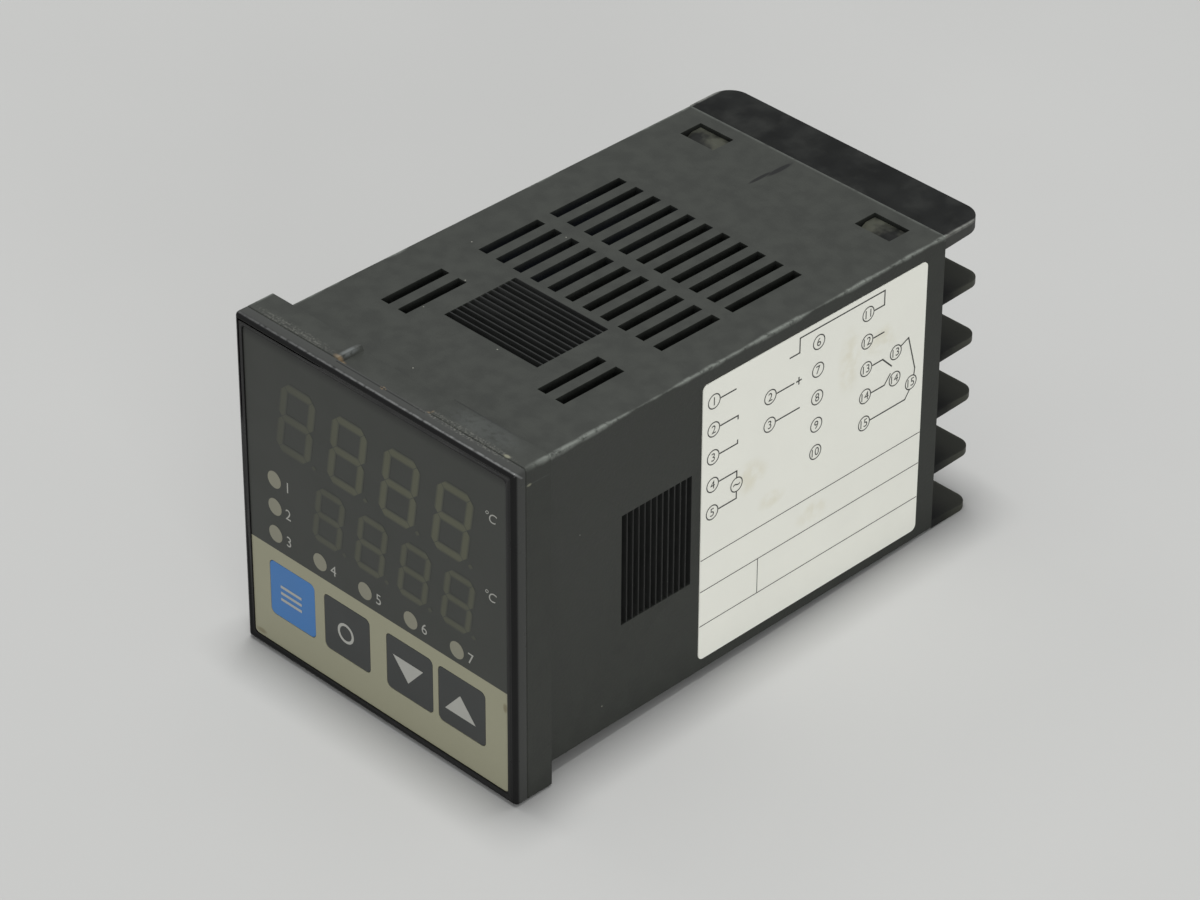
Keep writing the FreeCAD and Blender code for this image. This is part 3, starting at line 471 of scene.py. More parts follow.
@dataclass(frozen=True)
class DustyMoulding(Finish):
    """Moulded PBT, smooth and dark, rubbed and painted with a highlight at the hood's ends and long edges,
    and dusty on its hooks and fins.
    """

    dust: str = "#42433b"
    smudge: str = "#272826"
    dark: str = "#0a0b0a"
    # The tint of wear and painted highlight on the hood's ends and long edges
    rubbed: str = "#7c7d78"
    hook_top: float = 20.9
    block_face: float = 68.5
    hood_low: float = 20.0
    ends: Span = (21.65, 21.95, 0.2)
    brim: Span = (21.5, 21.85, 0.7)
    tips: Span = (69.8, 75.8, 0.85)
    brim_wear: Clouds = Clouds(1.4, 0.2, 0.6)
    hook_dust: Clouds = Clouds(3.0, 0.35, 0.6)
    darks: Clouds = Clouds(5.0, 0.35, 0.65, 0.7)
    smudges: Clouds = Clouds(4.0, 0.4, 0.75, 0.8)

    def marks(self, paint: Paint, colour: Signal) -> Signal:
        """Cloud the face, paint wear and a highlight on the ends and the long edges, and lay dust on the
        hooks and the fins.

        Args:
            paint: The material's nodes.
            colour: The colour so far.

        Returns:
            The colour with the marks.
        """
        wide = add_node(paint.tree, "ShaderNodeMath", {0: paint.across}, operation="ABSOLUTE")
        near = paint.joined("MINIMUM", wide, paint.up)
        hood = paint.joined("GREATER_THAN", paint.up, self.hood_low)
        below = paint.joined("LESS_THAN", paint.up, self.hood_low)
        # Wear and a painted highlight on the hood's end faces and along its long edges
        ends = paint.mask(paint.ramp(wide, *self.ends), hood)
        brim = paint.mask(paint.ramp(near, *self.brim), paint.clouds(self.brim_wear))
        hooks = paint.mask(
            paint.joined("GREATER_THAN", paint.up, self.hook_top),
            paint.joined("LESS_THAN", paint.back, self.block_face),
            paint.clouds(self.hook_dust),
        )
        tips = paint.mask(paint.ramp(paint.back, *self.tips), below)
        return paint.lay(
            colour,
            (paint.clouds(self.darks), self.dark),
            (paint.clouds(self.smudges), self.smudge),
            (ends, self.rubbed),
            (brim, self.rubbed),
            (hooks, self.dust),
            (tips, self.dust),
        )


@dataclass(frozen=True)
class FrameMoulding(Finish):
    """Moulded ABS with a smooth dark rim, a painted highlight with some wear along its brow, and grained
    sides.
    """

    sides: str = "#3d3e3c"
    # The tint of the painted highlight, with some wear, on the brow
    rubbed: str = "#6a6b6a"
    side: Span = (-5.6, -5.2, 1.0)
    top: float = 23.0
    brow: Span = (18.1, 18.72, 0.3)
    brow_fade: Span = (-60.0, 23.0, 1.0)
    brow_wear: Clouds = Clouds(0.8, 0.2, 0.6)
    # A painted shadow line where the notch cuts into the frame
    groove: Span = (-4.54, -4.3, 0.08)
    groove_half: float = 7.6
    groove_dark: float = 0.75
    stains: tuple[Stain, ...] = (
        # Dust along the seam with the case, and a speck of soil in the groove
        Stain(DUST, 0.16, (((14.0, -4.25, 24.0), (11.0, 0.45, 0.4)),), FLECKS),
        Stain(SOIL, 0.6, (((0.5, -4.35, 24.0), (0.55, 0.4, 0.4)),), FLECKS),
    )

    def marks(self, paint: Paint, colour: Signal) -> Signal:
        """Turn the sides paler than the rim, paint a highlight with some wear along its brow, and paint the
        shadow line of the groove.

        Args:
            paint: The material's nodes.
            colour: The colour so far.

        Returns:
            The colour with the marks.
        """
        wide = add_node(paint.tree, "ShaderNodeMath", {0: paint.across}, operation="ABSOLUTE")
        above = paint.joined("GREATER_THAN", paint.up, self.top)
        slant = paint.joined("ADD", paint.up, paint.back)
        # A painted highlight, with some wear, along the top of the rim's rounding
        brow = paint.mask(
            above,
            paint.band(slant, *self.brow),
            paint.ramp(paint.across, *self.brow_fade),
            paint.clouds(self.brow_wear),
        )
        # A painted shadow line where the notch cuts into the top of the frame
        groove = paint.mask(
            above,
            paint.band(paint.back, *self.groove),
            paint.joined("LESS_THAN", wide, self.groove_half),
            self.groove_dark,
        )
        side = paint.ramp(paint.back, *self.side)
        return paint.lay(colour, (side, self.sides), (brow, self.rubbed), (groove, DARK))


@dataclass(frozen=True)
class OverlayFilm(Finish):
    """Printed polycarbonate film: smoked above, a khaki band below, bars showing faintly through."""

    band: str = "#9c9a83"
    band_top: float = -7.95
    bar: str = "#575848"
    bar_fade: Span = (-34.0, 4.0, 1.0)
    shadow: str = "#0e0e0e"
    top_shade: Span = (21.0, 22.7, 0.6)
    stains: tuple[Stain, ...] = (
        # Brown dirt in two corners of the band
        Stain(
            "#6d6347",
            0.6,
            (((22.2, -5.85, -10.2), (0.5, 0.5, 0.9)), ((-21.5, -5.85, -22.0), (1.2, 0.5, 0.5))),
        ),
    )

    def marks(self, paint: Paint, colour: Signal) -> Signal:
        """Print the band, show the bars where a mesh says they are, and paint the rim's shadow along the
        top edge.

        Args:
            paint: The material's nodes.
            colour: The colour so far.

        Returns:
            The colour with the marks.
        """
        bars = add_node(paint.tree, "ShaderNodeAttribute", attribute_name="bar").outputs["Fac"]
        return paint.lay(
            colour,
            (paint.joined("LESS_THAN", paint.up, self.band_top), self.band),
            (paint.mask(bars, paint.ramp(paint.across, *self.bar_fade)), self.bar),
            (paint.ramp(paint.up, *self.top_shade), self.shadow),
        )


# Spark-eroded ABS looks matt and a little grey, with grain just fine enough to see
CASE_ABS = WornCase(
    "Spark-eroded black ABS",
    "#2f312d",
    0.56,
    mottle=0.12,
    mottle_size=2.5,
    grain=0.45,
    grain_depth=0.03,
    specular=0.3,
)
# The frame has a polished rim, so it is darker in front and has a soft sheen
FRAME_ABS = FrameMoulding("Part-polished black ABS", "#181818", 0.3, grain=0.8, specular=0.12)
# PBT for the terminals is deep black with a satin face
BLOCK_PBT = DustyMoulding(
    "Satin black PBT", "#171817", 0.45, mottle=0.3, mottle_size=6.0, grain=0.9, specular=0.12
)
# A printed film has an even satin face, its print seen from behind
FILM = OverlayFilm(
    "Satin printed polycarbonate film", "#3b3d39", 0.4, mottle=0.02, grain=0.3, specular=0.25
)
BLUE_FILM = Finish("Blue printed polycarbonate film", "#457ab6", 0.4, mottle=0.02, specular=0.25)
GREY_FILM = Finish("Grey printed polycarbonate film", "#3b3d3c", 0.4, mottle=0.02, specular=0.25)
# Screen ink lies flat and matt
PALE_INK = Finish("Pale grey screen ink", "#adada6", 0.5, mottle=0.03, grain=0.3)
GREY_INK = Finish("Mid grey screen ink", "#a6a69f", 0.5, mottle=0.03, grain=0.3)
LAMP_INK = Finish("Milky beige window ink", "#868473", 0.42, mottle=0.03, grain=0.3)
LABEL_INK = Finish("Black thermal print", "#3c3d3a", 0.6, mottle=0.2, mottle_size=0.8, grain=0.3)
# Polyester label stock is an even soft white, here with a few faint yellow stains
LABEL = Finish(
    "White polyester label",
    "#eeeee4",
    0.5,
    mottle=0.01,
    mottle_size=9.0,
    grain=0.25,
    stains=(
        Stain(
            "#c9bd8e",
            0.25,
            (
                ((22.2, 35.0, 3.0), (0.6, 4.0, 3.0)),
                ((22.2, 39.0, -2.2), (0.6, 3.0, 1.6)),
                ((22.2, 46.5, -8.0), (0.6, 3.5, 2.0)),
                ((22.2, 58.5, 12.0), (0.6, 4.0, 2.5)),
                ((22.2, 52.5, 11.5), (0.6, 2.5, 6.0)),
            ),
            Clouds(2.0),
        ),
    ),
)
# Plated terminals are bright, with a soft uneven lustre
TINNED_BRASS = Finish("Tinned brass", "#c9c2a8", 0.32, 1.0, mottle=0.1, mottle_size=1.5, grain=0.2)
ZINC_STEEL = Finish("Zinc-plated steel", "#c4c6c8", 0.28, 1.0, mottle=0.08, mottle_size=1.2, grain=0.2)
# Pieces that are out of sight keep the plain finish of their kind
LAMINATE = Finish("Green solder-masked glass laminate", "#2c5a3a", 0.35, mottle=0.1, grain=0.6)
EPOXY = Finish("Black moulding epoxy", "#1b1b1b", 0.6, grain=0.3, grain_depth=0.006)
DISPLAY_CASE = Finish("Matt black display housing", "#1a1a19", 0.7)
MILKY_EPOXY = Finish("Milky epoxy", "#8f9070", 0.4)
CLEAR_EPOXY = Finish("Pale lens plastic", "#b5b29f", 0.35)
NYLON = Finish("Black glass-filled nylon", "#1d1d1d", 0.55, grain=0.3, grain_depth=0.006)
STEM_NYLON = Finish("Grey acetal", "#5a5a58", 0.4)
FERRITE = Finish("Ground ferrite", "#35353a", 0.5, grain=0.25, grain_depth=0.006)
COIL_TAPE = Finish("Yellow polyester tape", "#c8a833", 0.35, mottle=0.12, mottle_size=2.0)
SLEEVE = Finish("Dark blue shrink sleeve", "#1c2540", 0.3)
RELAY_CASE = Finish("Blue relay case", "#24345e", 0.4)
VARISTOR_COAT = Finish("Dipped blue epoxy", "#2a5c94", 0.45, grain=0.6, grain_depth=0.02)
# The floor is plain and matt
FLOOR = Finish("Pale matt floor", "#b0b0ae", 0.8, mottle=0.01, mottle_size=60.0)


# Making and fitting pieces

WELD = 0.0005
FLAT_TURN = math.radians(0.4)
SHARP_TURN = math.radians(35)
ROUND_STEPS = 2
PRINT_HEIGHT = 0.015
Rim = list[bmesh.types.BMVert]


def added(name: str, data: bpy.types.ID) -> bpy.types.Object:
    """Add an object to the scene.

    Args:
        name: The object's name.
        data: Its mesh, text, lamp or camera.

    Returns:
        The new object.
    """
    thing = bpy.data.objects.new(name, data)
    bpy.context.scene.collection.objects.link(thing)
    return thing


def evaluated(thing: bpy.types.Object) -> bpy.types.Mesh:
    """The plain mesh that an object and its modifiers come to."""
    graph = bpy.context.evaluated_depsgraph_get()
    return bpy.data.meshes.new_from_object(thing.evaluated_get(graph))


def softened(
    node: str, name: str, finish: Finish, rounding: float, body: str = HOUSING
) -> bpy.types.Object:
    """Stand a copy of a node in its place, with its sharp edges rounded.

    Args:
        node: The node that the copy stands for.
        name: The new piece's name.
        finish: What the piece is made of.
        rounding: The width of the rounded edges.
        body: The body that it rides on.

    Returns:
        The new piece.
    """
    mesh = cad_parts[node].data.copy()
    mesh.name = name
    solid = bmesh.new()
    solid.from_mesh(mesh)
    bmesh.ops.remove_doubles(solid, verts=solid.verts, dist=WELD * MM)
    bmesh.ops.dissolve_limit(solid, angle_limit=FLAT_TURN, verts=solid.verts, edges=solid.edges)
    solid.to_mesh(mesh)
    solid.free()
    mesh.shade_smooth()
    mesh.set_sharp_from_angle(angle=SHARP_TURN)
    piece = added(name, mesh)
    bevel = piece.modifiers.new("rounded edges", "BEVEL")
    bevel.width = rounding * MM
    bevel.segments = ROUND_STEPS
    bevel.limit_method = "ANGLE"
    bevel.angle_limit = SHARP_TURN
    bevel.use_clamp_overlap = True
    bevel.harden_normals = True
    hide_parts(node)
    return fitted(piece, finish, body)


def fitted(piece: bpy.types.Object, finish: Finish, body: str = HOUSING) -> bpy.types.Object:
    """Give a piece its finish and set it on its body.

    Args:
        piece: The finished piece.
        finish: What it is made of.
        body: The body that it rides on.

    Returns:
        The same piece.
    """
    dressed(piece, finish)
    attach(piece, body)
    log.info("%s: %s, on %s", piece.name, finish.name, body)
    return piece


def dressed(piece: bpy.types.Object, finish: Finish) -> None:
    """Give an object one finish all over."""
    piece.data.materials.clear()
    piece.data.materials.append(finish.material())


@dataclass(frozen=True)
class PrintFace:
    """A flat face that carries print: where it starts, and its directions across and up."""

    start: Vector
    across: Vector
    up: Vector

    def turn(self) -> Matrix:
        """The turn and the scale of a drawing on this face, about the origin."""
        out = self.across.cross(self.up)
        return Matrix((self.across, self.up, out)).transposed().to_4x4() @ Matrix.Scale(MM, 4)

    def matrix(self) -> Matrix:
        """The placing of a drawing in millimetres on this face, in metres."""
        return Matrix.Translation(self.start * MM) @ self.turn()

    def spots(self, points: Iterable[Point]) -> list[Vector]:
        """The places of points of a drawing on this face, in metres."""
        return [self.matrix() @ Vector((*point, 0)) for point in points]


def circle(radius: float, steps: int = 32) -> list[Point]:
    """Points round a circle about the origin, anticlockwise."""
    turns = [2 * math.pi * step / steps for step in range(steps)]
    return [(radius * math.cos(turn), radius * math.sin(turn)) for turn in turns]


class Drawing:
    """Flat marks gathered in one mesh, drawn in millimetres across and up a face."""

    def __init__(self) -> None:
        """Start an empty drawing."""
        self.shapes = bmesh.new()
        self.bar = self.shapes.verts.layers.float.new("bar")

    def rim(self, corners: Iterable[Point], level: float = 0.0) -> Rim:
        """Set the corners of an outline.

        Args:
            corners: Where they are, anticlockwise.
            level: How clearly they show through the film, from nought to one.

        Returns:
            The corners of the mesh.
        """
        made = [self.shapes.verts.new((*corner, 0)) for corner in corners]
        for corner in made:
            corner[self.bar] = level
        return made

    def fill(self, corners: Iterable[Point]) -> None:
        """Draw a filled outline from its corners, anticlockwise."""
        self.shapes.faces.new(self.rim(corners))

    def strip(self, inner: Rim, outer: Rim) -> None:
        """Close the strip between two rims."""
        for step in range(len(inner)):
            self.shapes.faces.new((inner[step - 1], outer[step - 1], outer[step], inner[step]))

    def line(self, points: Sequence[Point], width: float) -> None:
        """Draw a line of one width through points, with square ends.

        Args:
            points: Where the line goes.
            width: How wide it is.
        """
        for start, stop in zip(points, points[1:]):
            a, b = Vector(start), Vector(stop)
            along = (b - a).normalized() * width / 2
            side = Vector((-along.y, along.x))
            ends = a - along - side, b + along - side, b + along + side, a - along + side
            self.fill([tuple(end) for end in ends])

    def ring(self, radius: float, width: float) -> None:
        """Draw a ring of one width about the origin."""
        inner, outer = (self.rim(circle(radius + side * width / 2)) for side in (-1, 1))
        self.strip(inner, outer)

    def disc(self, radius: float) -> None:
        """Draw a filled disc about the origin."""
        self.fill(circle(radius))

    def words(self, text: str, middle: Point, height: float, lean: float = 0.0) -> None:
        """Draw plain figures or signs about a middle.

        Args:
            text: The figures.
            middle: The centre of their box.
            height: The height of the tallest.
            lean: How far they slant.
        """
        curve = bpy.data.curves.new("figures", "FONT")
        curve.body = text
        curve.shear = lean
        holder = added("figures", curve)
        mesh = evaluated(holder)
        low = Vector(map(min, zip(*(v.co for v in mesh.vertices))))
        high = Vector(map(max, zip(*(v.co for v in mesh.vertices))))
        size = height / (high.y - low.y)
        spot = Matrix.Translation((*middle, 0)) @ Matrix.Scale(size, 4)
        mesh.transform(spot @ Matrix.Translation(-(low + high) / 2))
        self.shapes.from_mesh(mesh)
        bpy.data.objects.remove(holder)

    def mesh(self, name: str, matrix: Matrix) -> bpy.types.Mesh:
        """Close the drawing and give it as a mesh.

        Args:
            name: The mesh's name.
            matrix: Where the drawing goes.

        Returns:
            The mesh.
        """
        made = bpy.data.meshes.new(name)
        self.shapes.to_mesh(made)
        self.shapes.free()
        made.transform(matrix)
        return made

    def piece(
        self, name: str, face: PrintFace, finish: Finish, body: str = HOUSING
    ) -> bpy.types.Object:
        """Set the drawing on a face as a piece of its own.

        Args:
            name: The piece's name.
            face: The face that carries it.
            finish: What it is printed with.
            body: The body that it rides on.

        Returns:
            The new piece.
        """
        return fitted(added(name, self.mesh(name, face.matrix())), finish, body)


class Stamp:
    """A Geometry Nodes tree that sets one shape at every point of a mesh."""

    def __init__(self) -> None:
        """Build the tree with its named inputs."""
        self.tree = bpy.data.node_groups.new("set a shape at each point", "GeometryNodeTree")
        sockets = self.tree.interface
        sockets.new_socket("Geometry", in_out="INPUT", socket_type="NodeSocketGeometry")
        sockets.new_socket("Geometry", in_out="OUTPUT", socket_type="NodeSocketGeometry")
        kinds = dict(Shape="NodeSocketObject", Size="NodeSocketFloat", Finish="NodeSocketMaterial")
        self.inputs = {
            name: sockets.new_socket(name, in_out="INPUT", socket_type=kind).identifier
            for name, kind in kinds.items()
        }
        given = add_node(self.tree, "NodeGroupInput").outputs
        shape = add_node(self.tree, "GeometryNodeObjectInfo", {"Object": given["Shape"]})
        body = shape.outputs["Geometry"]
        values = {"Points": given["Geometry"], "Instance": body, "Scale": given["Size"]}
        copies = add_node(self.tree, "GeometryNodeInstanceOnPoints", values)
        real = add_node(self.tree, "GeometryNodeRealizeInstances", {"Geometry": copies})
        values = {"Geometry": real, "Material": given["Finish"]}
        coated = add_node(self.tree, "GeometryNodeSetMaterial", values)
        add_node(self.tree, "NodeGroupOutput", {0: coated})

    def set(
        self, name: str, shape: bpy.types.Mesh, places: Sequence[Vector], finish: Finish
    ) -> bpy.types.Object:
        """Set a shape at each place and give the result as one plain mesh.

        Args:
            name: The piece's name.
            shape: The shape, drawn about the origin in metres.
            places: Where it goes, in metres.
            finish: What it is made of.

        Returns:
            The new piece, on the housing.
        """
        model = added(f"{name} shape", shape)
        points = bpy.data.meshes.new(name)
        points.from_pydata([tuple(place) for place in places], [], [])
        piece = added(name, points)
        rule = piece.modifiers.new("stamp", "NODES")
        rule.node_group = self.tree
        for key, value in dict(Shape=model, Size=1.0, Finish=finish.material()).items():
            rule[self.inputs[key]] = value
        whole = evaluated(piece)
        piece.modifiers.clear()
        piece.data = whole
        bpy.data.objects.remove(model)
        return fitted(piece, finish)


# The controller's sub-assemblies


@dataclass
class Enclosure:
    """The vented case."""

    rounding: float = 0.12

    def build(self) -> None:
        """Stand the rounded case in its place."""
        softened("case", "case_shell", CASE_ABS, self.rounding)


@dataclass
class Digits:
    """One row of four seven-bar digits behind the film."""

    name: str
    middle: Point
    width: float
    height: float
    pitch: float
    bar: float
    light: float
    count: int = 4
    lean: float = 0.14
    joint: float = 0.12
    fade: float = 0.2
    point: float = 0.3
    point_offset: float = 0.75

    def draw_bar(
        self, drawing: Drawing, ends: tuple[Point, Point], half: float, joint: float, light: float
    ) -> None:
        """Draw one light bar with mitred ends and a faded rim.

        Args:
            drawing: What it is drawn in.
            ends: Its two tips.
            half: Half its width.
            joint: How far the full light stays from each tip.
            light: How clearly it shows, from nought to one.
        """
        a, b = map(Vector, ends)
        along = (b - a).normalized()
        rims = []
        for wide, inset, level in ((half - self.fade, joint, light), (half + self.fade, 0.0, 0.0)):
            tip, shoulder = along * inset, along * (inset + wide)
            edge = Vector((-along.y, along.x)) * wide
            corners = (
                a + tip,
                a + shoulder - edge,
                b - shoulder - edge,
                b - tip,
                b - shoulder + edge,
                a + shoulder + edge,
            )
            rims.append(drawing.rim(((c.x + self.lean * c.y, c.y) for c in corners), level))
        drawing.shapes.faces.new(rims[0])
        drawing.strip(*rims)

    def shape(self, face: PrintFace) -> bpy.types.Mesh:
        """Draw one digit about the origin.

        Args:
            face: The face that carries it.

        Returns:
            The mesh of the digit.
        """
        side, rise = (self.width - self.bar) / 2, (self.height - self.bar) / 2
        drawing = Drawing()
        bars = [((-side, level), (side, level)) for level in (-rise, 0, rise)]
        for across in (-side, side):
            bars += [((across, low), (across, low + rise)) for low in (-rise, 0)]
        for ends in bars:
            self.draw_bar(drawing, ends, self.bar / 2, self.joint, self.light)
        foot = -self.height / 2 + self.point
        right = self.width / 2 + self.point_offset
        reach = self.point + self.fade
        ends = (right - reach, foot), (right + reach, foot)
        self.draw_bar(drawing, ends, self.point, self.fade, self.light / 2)
        return drawing.mesh(self.name, face.turn())

    def build(self, face: PrintFace, stamp: Stamp) -> None:
        """Set the digits in their row on the film.

        Args:
            face: The film's face.
            stamp: What sets the copies.
        """
        first = self.middle[0] - self.pitch * (self.count - 1) / 2
        row = [(first + self.pitch * step, self.middle[1]) for step in range(self.count)]
        stamp.set(self.name, self.shape(face), face.spots(row), FILM)


@dataclass
class FrontPanel:
    """The front frame, and the film with its windows, digits and figures."""

    rounding: float = 0.1
    lamp_diameter: float = 2.4
    lamp_left: float = -18.0
    lamp_low: float = -5.85
    lamp_pitch: float = 8.02
    lamp_rise: float = 4.05
    row_count: int = 5
    figure_height: float = 1.5
    figure_offset: float = 2.4
    unit_height: float = 1.4
    unit_lean: float = 0.25
    print_turn: float = math.radians(-0.83)
    unit_places: tuple[Point, ...] = ((19.9, 16.5), (19.9, 5.2))
    digits: tuple[Digits, ...] = (
        Digits("pv_digits", (-0.22, 12.5), 6.0, 10.3, 9.05, 1.05, 1.0),
        Digits("sv_digits", (3.0, 1.35), 5.0, 8.2, 7.5, 0.85, 0.75),
    )

    def face(self) -> PrintFace:
        """The face of the film, just proud of it, with the slight turn of its print.

        Returns:
            The face for the drawings.
        """
        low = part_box("front_film")[0] / MM
        across = Vector((math.cos(self.print_turn), 0, math.sin(self.print_turn)))
        up = Vector((-across.z, 0, across.x))
        return PrintFace(Vector((0, low.y - PRINT_HEIGHT, 0)), across, up)

    def lamps(self) -> list[Point]:
        """The centres of the lamps: two above the first of a row.

        Returns:
            The points on the film, in the order of their numbers.
        """
        above = [(self.lamp_left, self.lamp_low + self.lamp_rise * step) for step in (2, 1)]
        row = [(self.lamp_left + self.lamp_pitch * n, self.lamp_low) for n in range(self.row_count)]
        return above + row

    def build(self, stamp: Stamp) -> None:
        """Build the frame and everything on the film.

        Args:
            stamp: What sets the copies.
        """
        softened("front_frame", "front_frame_shell", FRAME_ABS, self.rounding)
        dressed(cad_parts["front_film"], FILM)
        face = self.face()
        window = Drawing()
        window.disc(self.lamp_diameter / 2)
        shape = window.mesh("lamp_windows", face.turn())
        stamp.set("lamp_windows", shape, face.spots(self.lamps()), LAMP_INK)
        for row in self.digits:
            row.build(face, stamp)
        figures = Drawing()
        for number, (across, up) in enumerate(self.lamps(), 1):
            figures.words(str(number), (across + self.figure_offset, up), self.figure_height)
        for place in self.unit_places:
            figures.words("°C", place, self.unit_height, self.unit_lean)
        figures.piece("film_figures", face, GREY_INK)


class KeyMark(Enum):
    """The sign on a key."""

    BARS = "bars"
    RING = "ring"
    DOWN = "down"
    UP = "up"


@dataclass
class Key:
    """One press key and the sign on it."""

    name: str
    mark: KeyMark
    finish: Finish
    rounding: float = 0.04
    sign_width: float = 5.3
    sign_height: float = 3.1
    sign_shift: Place = (-0.26, 0.0, -0.2)
    bar_width: float = 3.4
    bar_pitch: float = 0.95
    line: float = 0.4
    ring_radius: float = 1.25

    def build(self) -> None:
        """Build the key and print its sign."""
        body = f"{self.name}_button"
        node = f"{self.name}_key"
        softened(node, f"{self.name}_key_cap", self.finish, self.rounding, body)
        dressed(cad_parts[f"{self.name}_switch_stem"], STEM_NYLON)
        low, high = (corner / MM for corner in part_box(node))
        middle = (low + high) / 2
        start = Vector((middle.x, low.y - PRINT_HEIGHT, middle.z)) + Vector(self.sign_shift)
        face = PrintFace(start, Vector((1, 0, 0)), Vector((0, 0, 1)))
        sign = Drawing()
        wide, tall = self.sign_width / 2, self.sign_height / 2
        if self.mark is KeyMark.BARS:
            for level in (-self.bar_pitch, 0, self.bar_pitch):
                sign.line([(-self.bar_width / 2, level), (self.bar_width / 2, level)], self.line)
        elif self.mark is KeyMark.RING:
            sign.ring(self.ring_radius, self.line)
        elif self.mark is KeyMark.DOWN:
            sign.fill([(-wide, tall), (0, -tall), (wide, tall)])
        else:
            sign.fill([(-wide, -tall), (wide, -tall), (0, tall)])
        sign.piece(f"{self.name}_key_sign", face, PALE_INK, body)


@dataclass
class SideLabel:
    """The label on the right side, with its ruled cells and numbered wiring rings."""

    thickness: float = 0.12
    line: float = 0.2
    rule: float = 0.12
    ring_line: float = 0.16
    ring_radius: float = 1.0
    figure_height: float = 1.15
    top_row: float = 17.1
    row_pitch: float = 4.03
    columns: tuple[float, ...] = (1.9, 20.1, 28.9)
    rows: int = 5
    rules: tuple[float, ...] = (-5.4, -10.1, -15.3)
    divider: float = 10.2
    extra_rings: tuple[tuple[str, Point], ...] = (
        ("2", (11.7, 13.07)),
        ("3", (11.7, 9.04)),
        ("13", (34.3, 9.0)),
        ("14", (34.3, 5.1)),
        ("15", (37.4, 3.1)),
    )
    source: Point = (6.1, 3.0)
    wave_height: float = 0.35

    def face(self) -> PrintFace:
        """The label's own sloping face, starting at its front edge.

        Returns:
            The face for the drawings.
        """
        low, high = (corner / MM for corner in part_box("side_label"))
        slope = (low.x + self.thickness - high.x) / (high.y - low.y)
        start = Vector((high.x + PRINT_HEIGHT, low.y, 0))
        return PrintFace(start, Vector((slope, 1, 0)).normalized(), Vector((0, 0, 1)))

    def row(self, number: int) -> float:
        """The height of a row of rings."""
        return self.top_row - self.row_pitch * number

    def routes(self) -> list[list[Point]]:
        """The wires drawn between the rings.

        Returns:
            The points of each wire.
        """
        first, second, third, fourth, fifth = (self.row(number) for number in range(self.rows))
        near, far, inner, branch, outer = 3.1, 6.1, 12.9, 16.7, 30.1
        tick, bend, bus = 0.45, 31.8, 19.2
        return [
            [(near, first), (5.6, first)],
            [(15.0, first), (branch, first), (branch, bus), (bend, bus), (bend, first), (outer, first)],
            [(near, second), (far, second), (far, second - tick)],
            [(near, third), (far, third), (far, third + tick)],
            [(near, fourth), (far, fourth), (far, self.source[1] + self.ring_radius)],
            [(near, fifth), (far, fifth), (far, self.source[1] - self.ring_radius)],
            [(inner, second), (15.8, second)],
            [(16.3, second), (17.1, second)],
            [(branch, second - tick), (branch, second + tick)],
            [(inner, third), (16.9, third)],
            [(outer, second), (31.9, second)],
            [(outer, third), (31.9, third), (33.6, 7.3)],
            [(outer, fourth), (32.4, fourth), (33.4, 6.2)],
            [(outer, fifth), (36.4, fifth), (37.2, 2.1)],
            [(35.2, 9.5), (36.6, 10.1), (38.0, 5.0), (37.9, 4.0)],
        ]

    def build(self, stamp: Stamp) -> None:
        """Dress the label and print on it.

        Args:
            stamp: What sets the copies.
        """
        dressed(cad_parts["side_label"], LABEL)
        face = self.face()
        low, high = (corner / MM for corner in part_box("side_label"))
        length = high.y - low.y
        grid = [(across, self.row(number)) for across in self.columns for number in range(self.rows)]
        numbers = [(str(number), place) for number, place in enumerate(grid, 1)]
        numbers += self.extra_rings
        ring = Drawing()
        ring.ring(self.ring_radius, self.ring_line)
        shape = ring.mesh("label_rings", face.turn())
        middles = [place for _, place in numbers] + [self.source]
        stamp.set("label_rings", shape, face.spots(middles), LABEL_INK)
        marks = Drawing()
        for text, place in numbers:
            marks.words(text, place, self.figure_height)
        marks.words("~", self.source, self.wave_height)
        for route in self.routes():
            marks.line(route, self.line)
        for level in self.rules:
            marks.line([(self.rule, level), (length - self.rule, level)], self.rule)
        marks.line([(self.divider, self.rules[1]), (self.divider, self.rules[2])], self.rule)
        marks.piece("label_print", face, LABEL_INK)


@dataclass
class TerminalBlock:
    """The finned block with its plates, washers and screws."""

    rounding: float = 0.18
    metal_rounding: float = 0.1

    def build(self) -> None:
        """Stand the rounded block and its fastenings in their places."""
        softened("terminal_block", "terminal_block_shell", BLOCK_PBT, self.rounding)
        metals = dict(plates=TINNED_BRASS, washers=ZINC_STEEL, screws=ZINC_STEEL)
        for kind, finish in metals.items():
            softened(f"terminal_{kind}", f"terminal_{kind}_rounded", finish, self.metal_rounding)


DRESSED = {finish.name for finish in (FILM, LABEL, STEM_NYLON)}
# What the pieces inside are made of, by a part of their names
INSIDE = {
    "_board": LAMINATE,
    "_header_": NYLON,
    "_switch": NYLON,
    "_display": DISPLAY_CASE,
    "_segments": MILKY_EPOXY,
    "indicator_": CLEAR_EPOXY,
    "transformer_core": FERRITE,
    "transformer_bobbin": NYLON,
    "transformer_winding": COIL_TAPE,
    "line_choke": FERRITE,
    "_capacitor": SLEEVE,
    "_relay": RELAY_CASE,
    "surge_varistor": VARISTOR_COAT,
    "crystal": ZINC_STEEL,
}


@dataclass
class Electronics:
    """The boards and parts inside, which keep the solids of the model."""

    other: Finish = EPOXY

    def build(self) -> None:
        """Dress every node that no other piece has dressed."""
        for name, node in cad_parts.items():
            if node.hide_render or any(m and m.name in DRESSED for m in node.data.materials):
                continue
            finish = next((f for key, f in INSIDE.items() if key in name), self.other)
            dressed(node, finish)
            log.info("%s: %s", name, finish.name)


@dataclass(frozen=True)
class Softbox:
    """A square lamp: its name, where it hangs, the length of its side and its power in watts."""

    name: str
    place: Place
    size: float
    power: float


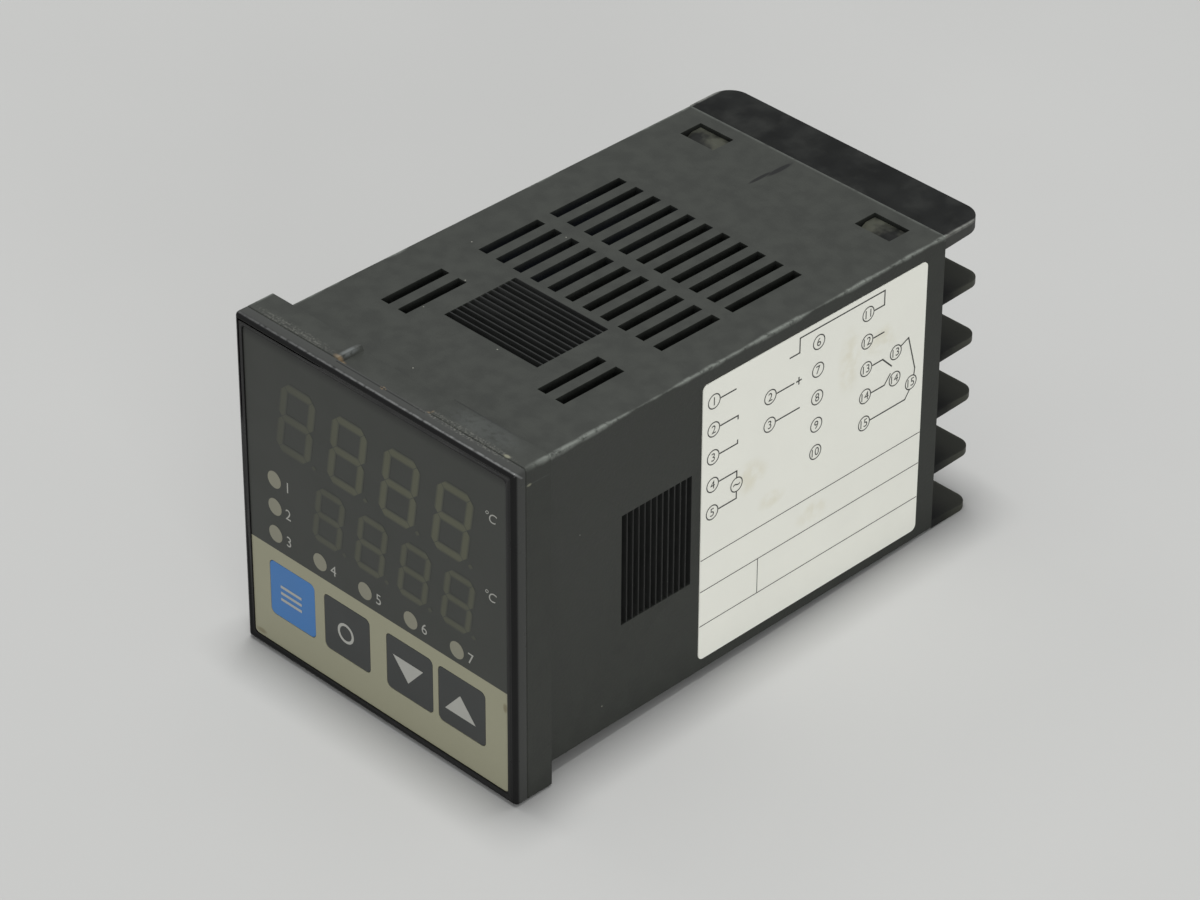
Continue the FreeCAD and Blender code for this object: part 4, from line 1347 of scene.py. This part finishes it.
@dataclass
class Studio:
    """The camera, the floor and the lights."""

    camera_place: Place = (355.64, -322.37, 344.33)
    camera_aim: Place = (-0.58300, 0.58050, -0.56845)
    camera_roll: float = 0.283
    lens: float = 148.0
    clip_metres: Point = (0.01, 50.0)
    floor_reach: float = 4000.0
    sky: str = "#f4f6f8"
    sky_strength: float = 0.45
    lamp_aim: Place = (0.0, 40.0, 0.0)
    lamps: tuple[Softbox, ...] = (
        Softbox("overhead softbox", (-30.0, 45.0, 900.0), 180.0, 7.0),
        Softbox("right softbox", (780.0, -480.0, 220.0), 400.0, 3.4),
        Softbox("left softbox", (-650.0, 0.0, 750.0), 260.0, 0.5),
    )

    def build(self) -> None:
        """Set up the camera, then the floor, the sky and the lamps."""
        scene = bpy.context.scene
        scene.view_settings.view_transform = "Standard"
        lens = bpy.data.cameras.new("photo camera")
        lens.lens = self.lens
        lens.clip_start, lens.clip_end = self.clip_metres
        camera = added("photo camera", lens)
        turn = Vector(self.camera_aim).to_track_quat("-Z", "Y")
        camera.rotation_mode = "QUATERNION"
        camera.rotation_quaternion = turn @ Quaternion((0, 0, 1), math.radians(self.camera_roll))
        camera.location = Vector(self.camera_place) * MM
        scene.camera = camera
        self.floor()
        self.world()
        for softbox in self.lamps:
            self.lamp(softbox)

    def floor(self) -> None:
        """Lay the floor under the flange and the back edge, where the controller rests."""
        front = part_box("case")[0] / MM
        back_low, back_high = (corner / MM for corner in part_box("terminal_block"))
        slope = (back_low.z - front.z) / back_high.y
        reach = self.floor_reach
        corners = [(-reach, -reach), (reach, -reach), (reach, reach), (-reach, reach)]
        mesh = bpy.data.meshes.new("floor")
        places = [(x * MM, y * MM, (front.z + slope * y) * MM) for x, y in corners]
        mesh.from_pydata(places, [], [(0, 1, 2, 3)])
        floor = added("floor", mesh)
        dressed(floor, FLOOR)

    def world(self) -> None:
        """Fill the room with soft light."""
        world = bpy.data.worlds.new("soft room")
        world.use_nodes = True
        world.node_tree.nodes.clear()
        values = {"Color": linear(self.sky), "Strength": self.sky_strength}
        sky = add_node(world.node_tree, "ShaderNodeBackground", values)
        add_node(world.node_tree, "ShaderNodeOutputWorld", {"Surface": sky})
        bpy.context.scene.world = world

    def lamp(self, softbox: Softbox) -> None:
        """Hang one softbox.

        Args:
            softbox: The lamp.
        """
        light = bpy.data.lights.new(softbox.name, "AREA")
        light.size = softbox.size * MM
        light.energy = softbox.power
        holder = added(softbox.name, light)
        place = Vector(softbox.place)
        holder.location = place * MM
        holder.rotation_mode = "QUATERNION"
        holder.rotation_quaternion = (Vector(self.lamp_aim) - place).to_track_quat("-Z", "Y")


def main() -> None:
    """Build the scene in order."""
    logging.basicConfig(level=logging.INFO, format="%(message)s")
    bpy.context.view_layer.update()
    Studio().build()
    stamp = Stamp()
    Enclosure().build()
    FrontPanel().build(stamp)
    for key in (
        Key("set", KeyMark.BARS, BLUE_FILM),
        Key("select", KeyMark.RING, GREY_FILM),
        Key("down", KeyMark.DOWN, GREY_FILM),
        Key("up", KeyMark.UP, GREY_FILM),
    ):
        key.build()
    SideLabel().build(stamp)
    TerminalBlock().build()
    Electronics().build()


if __name__ == "__main__":
    main()
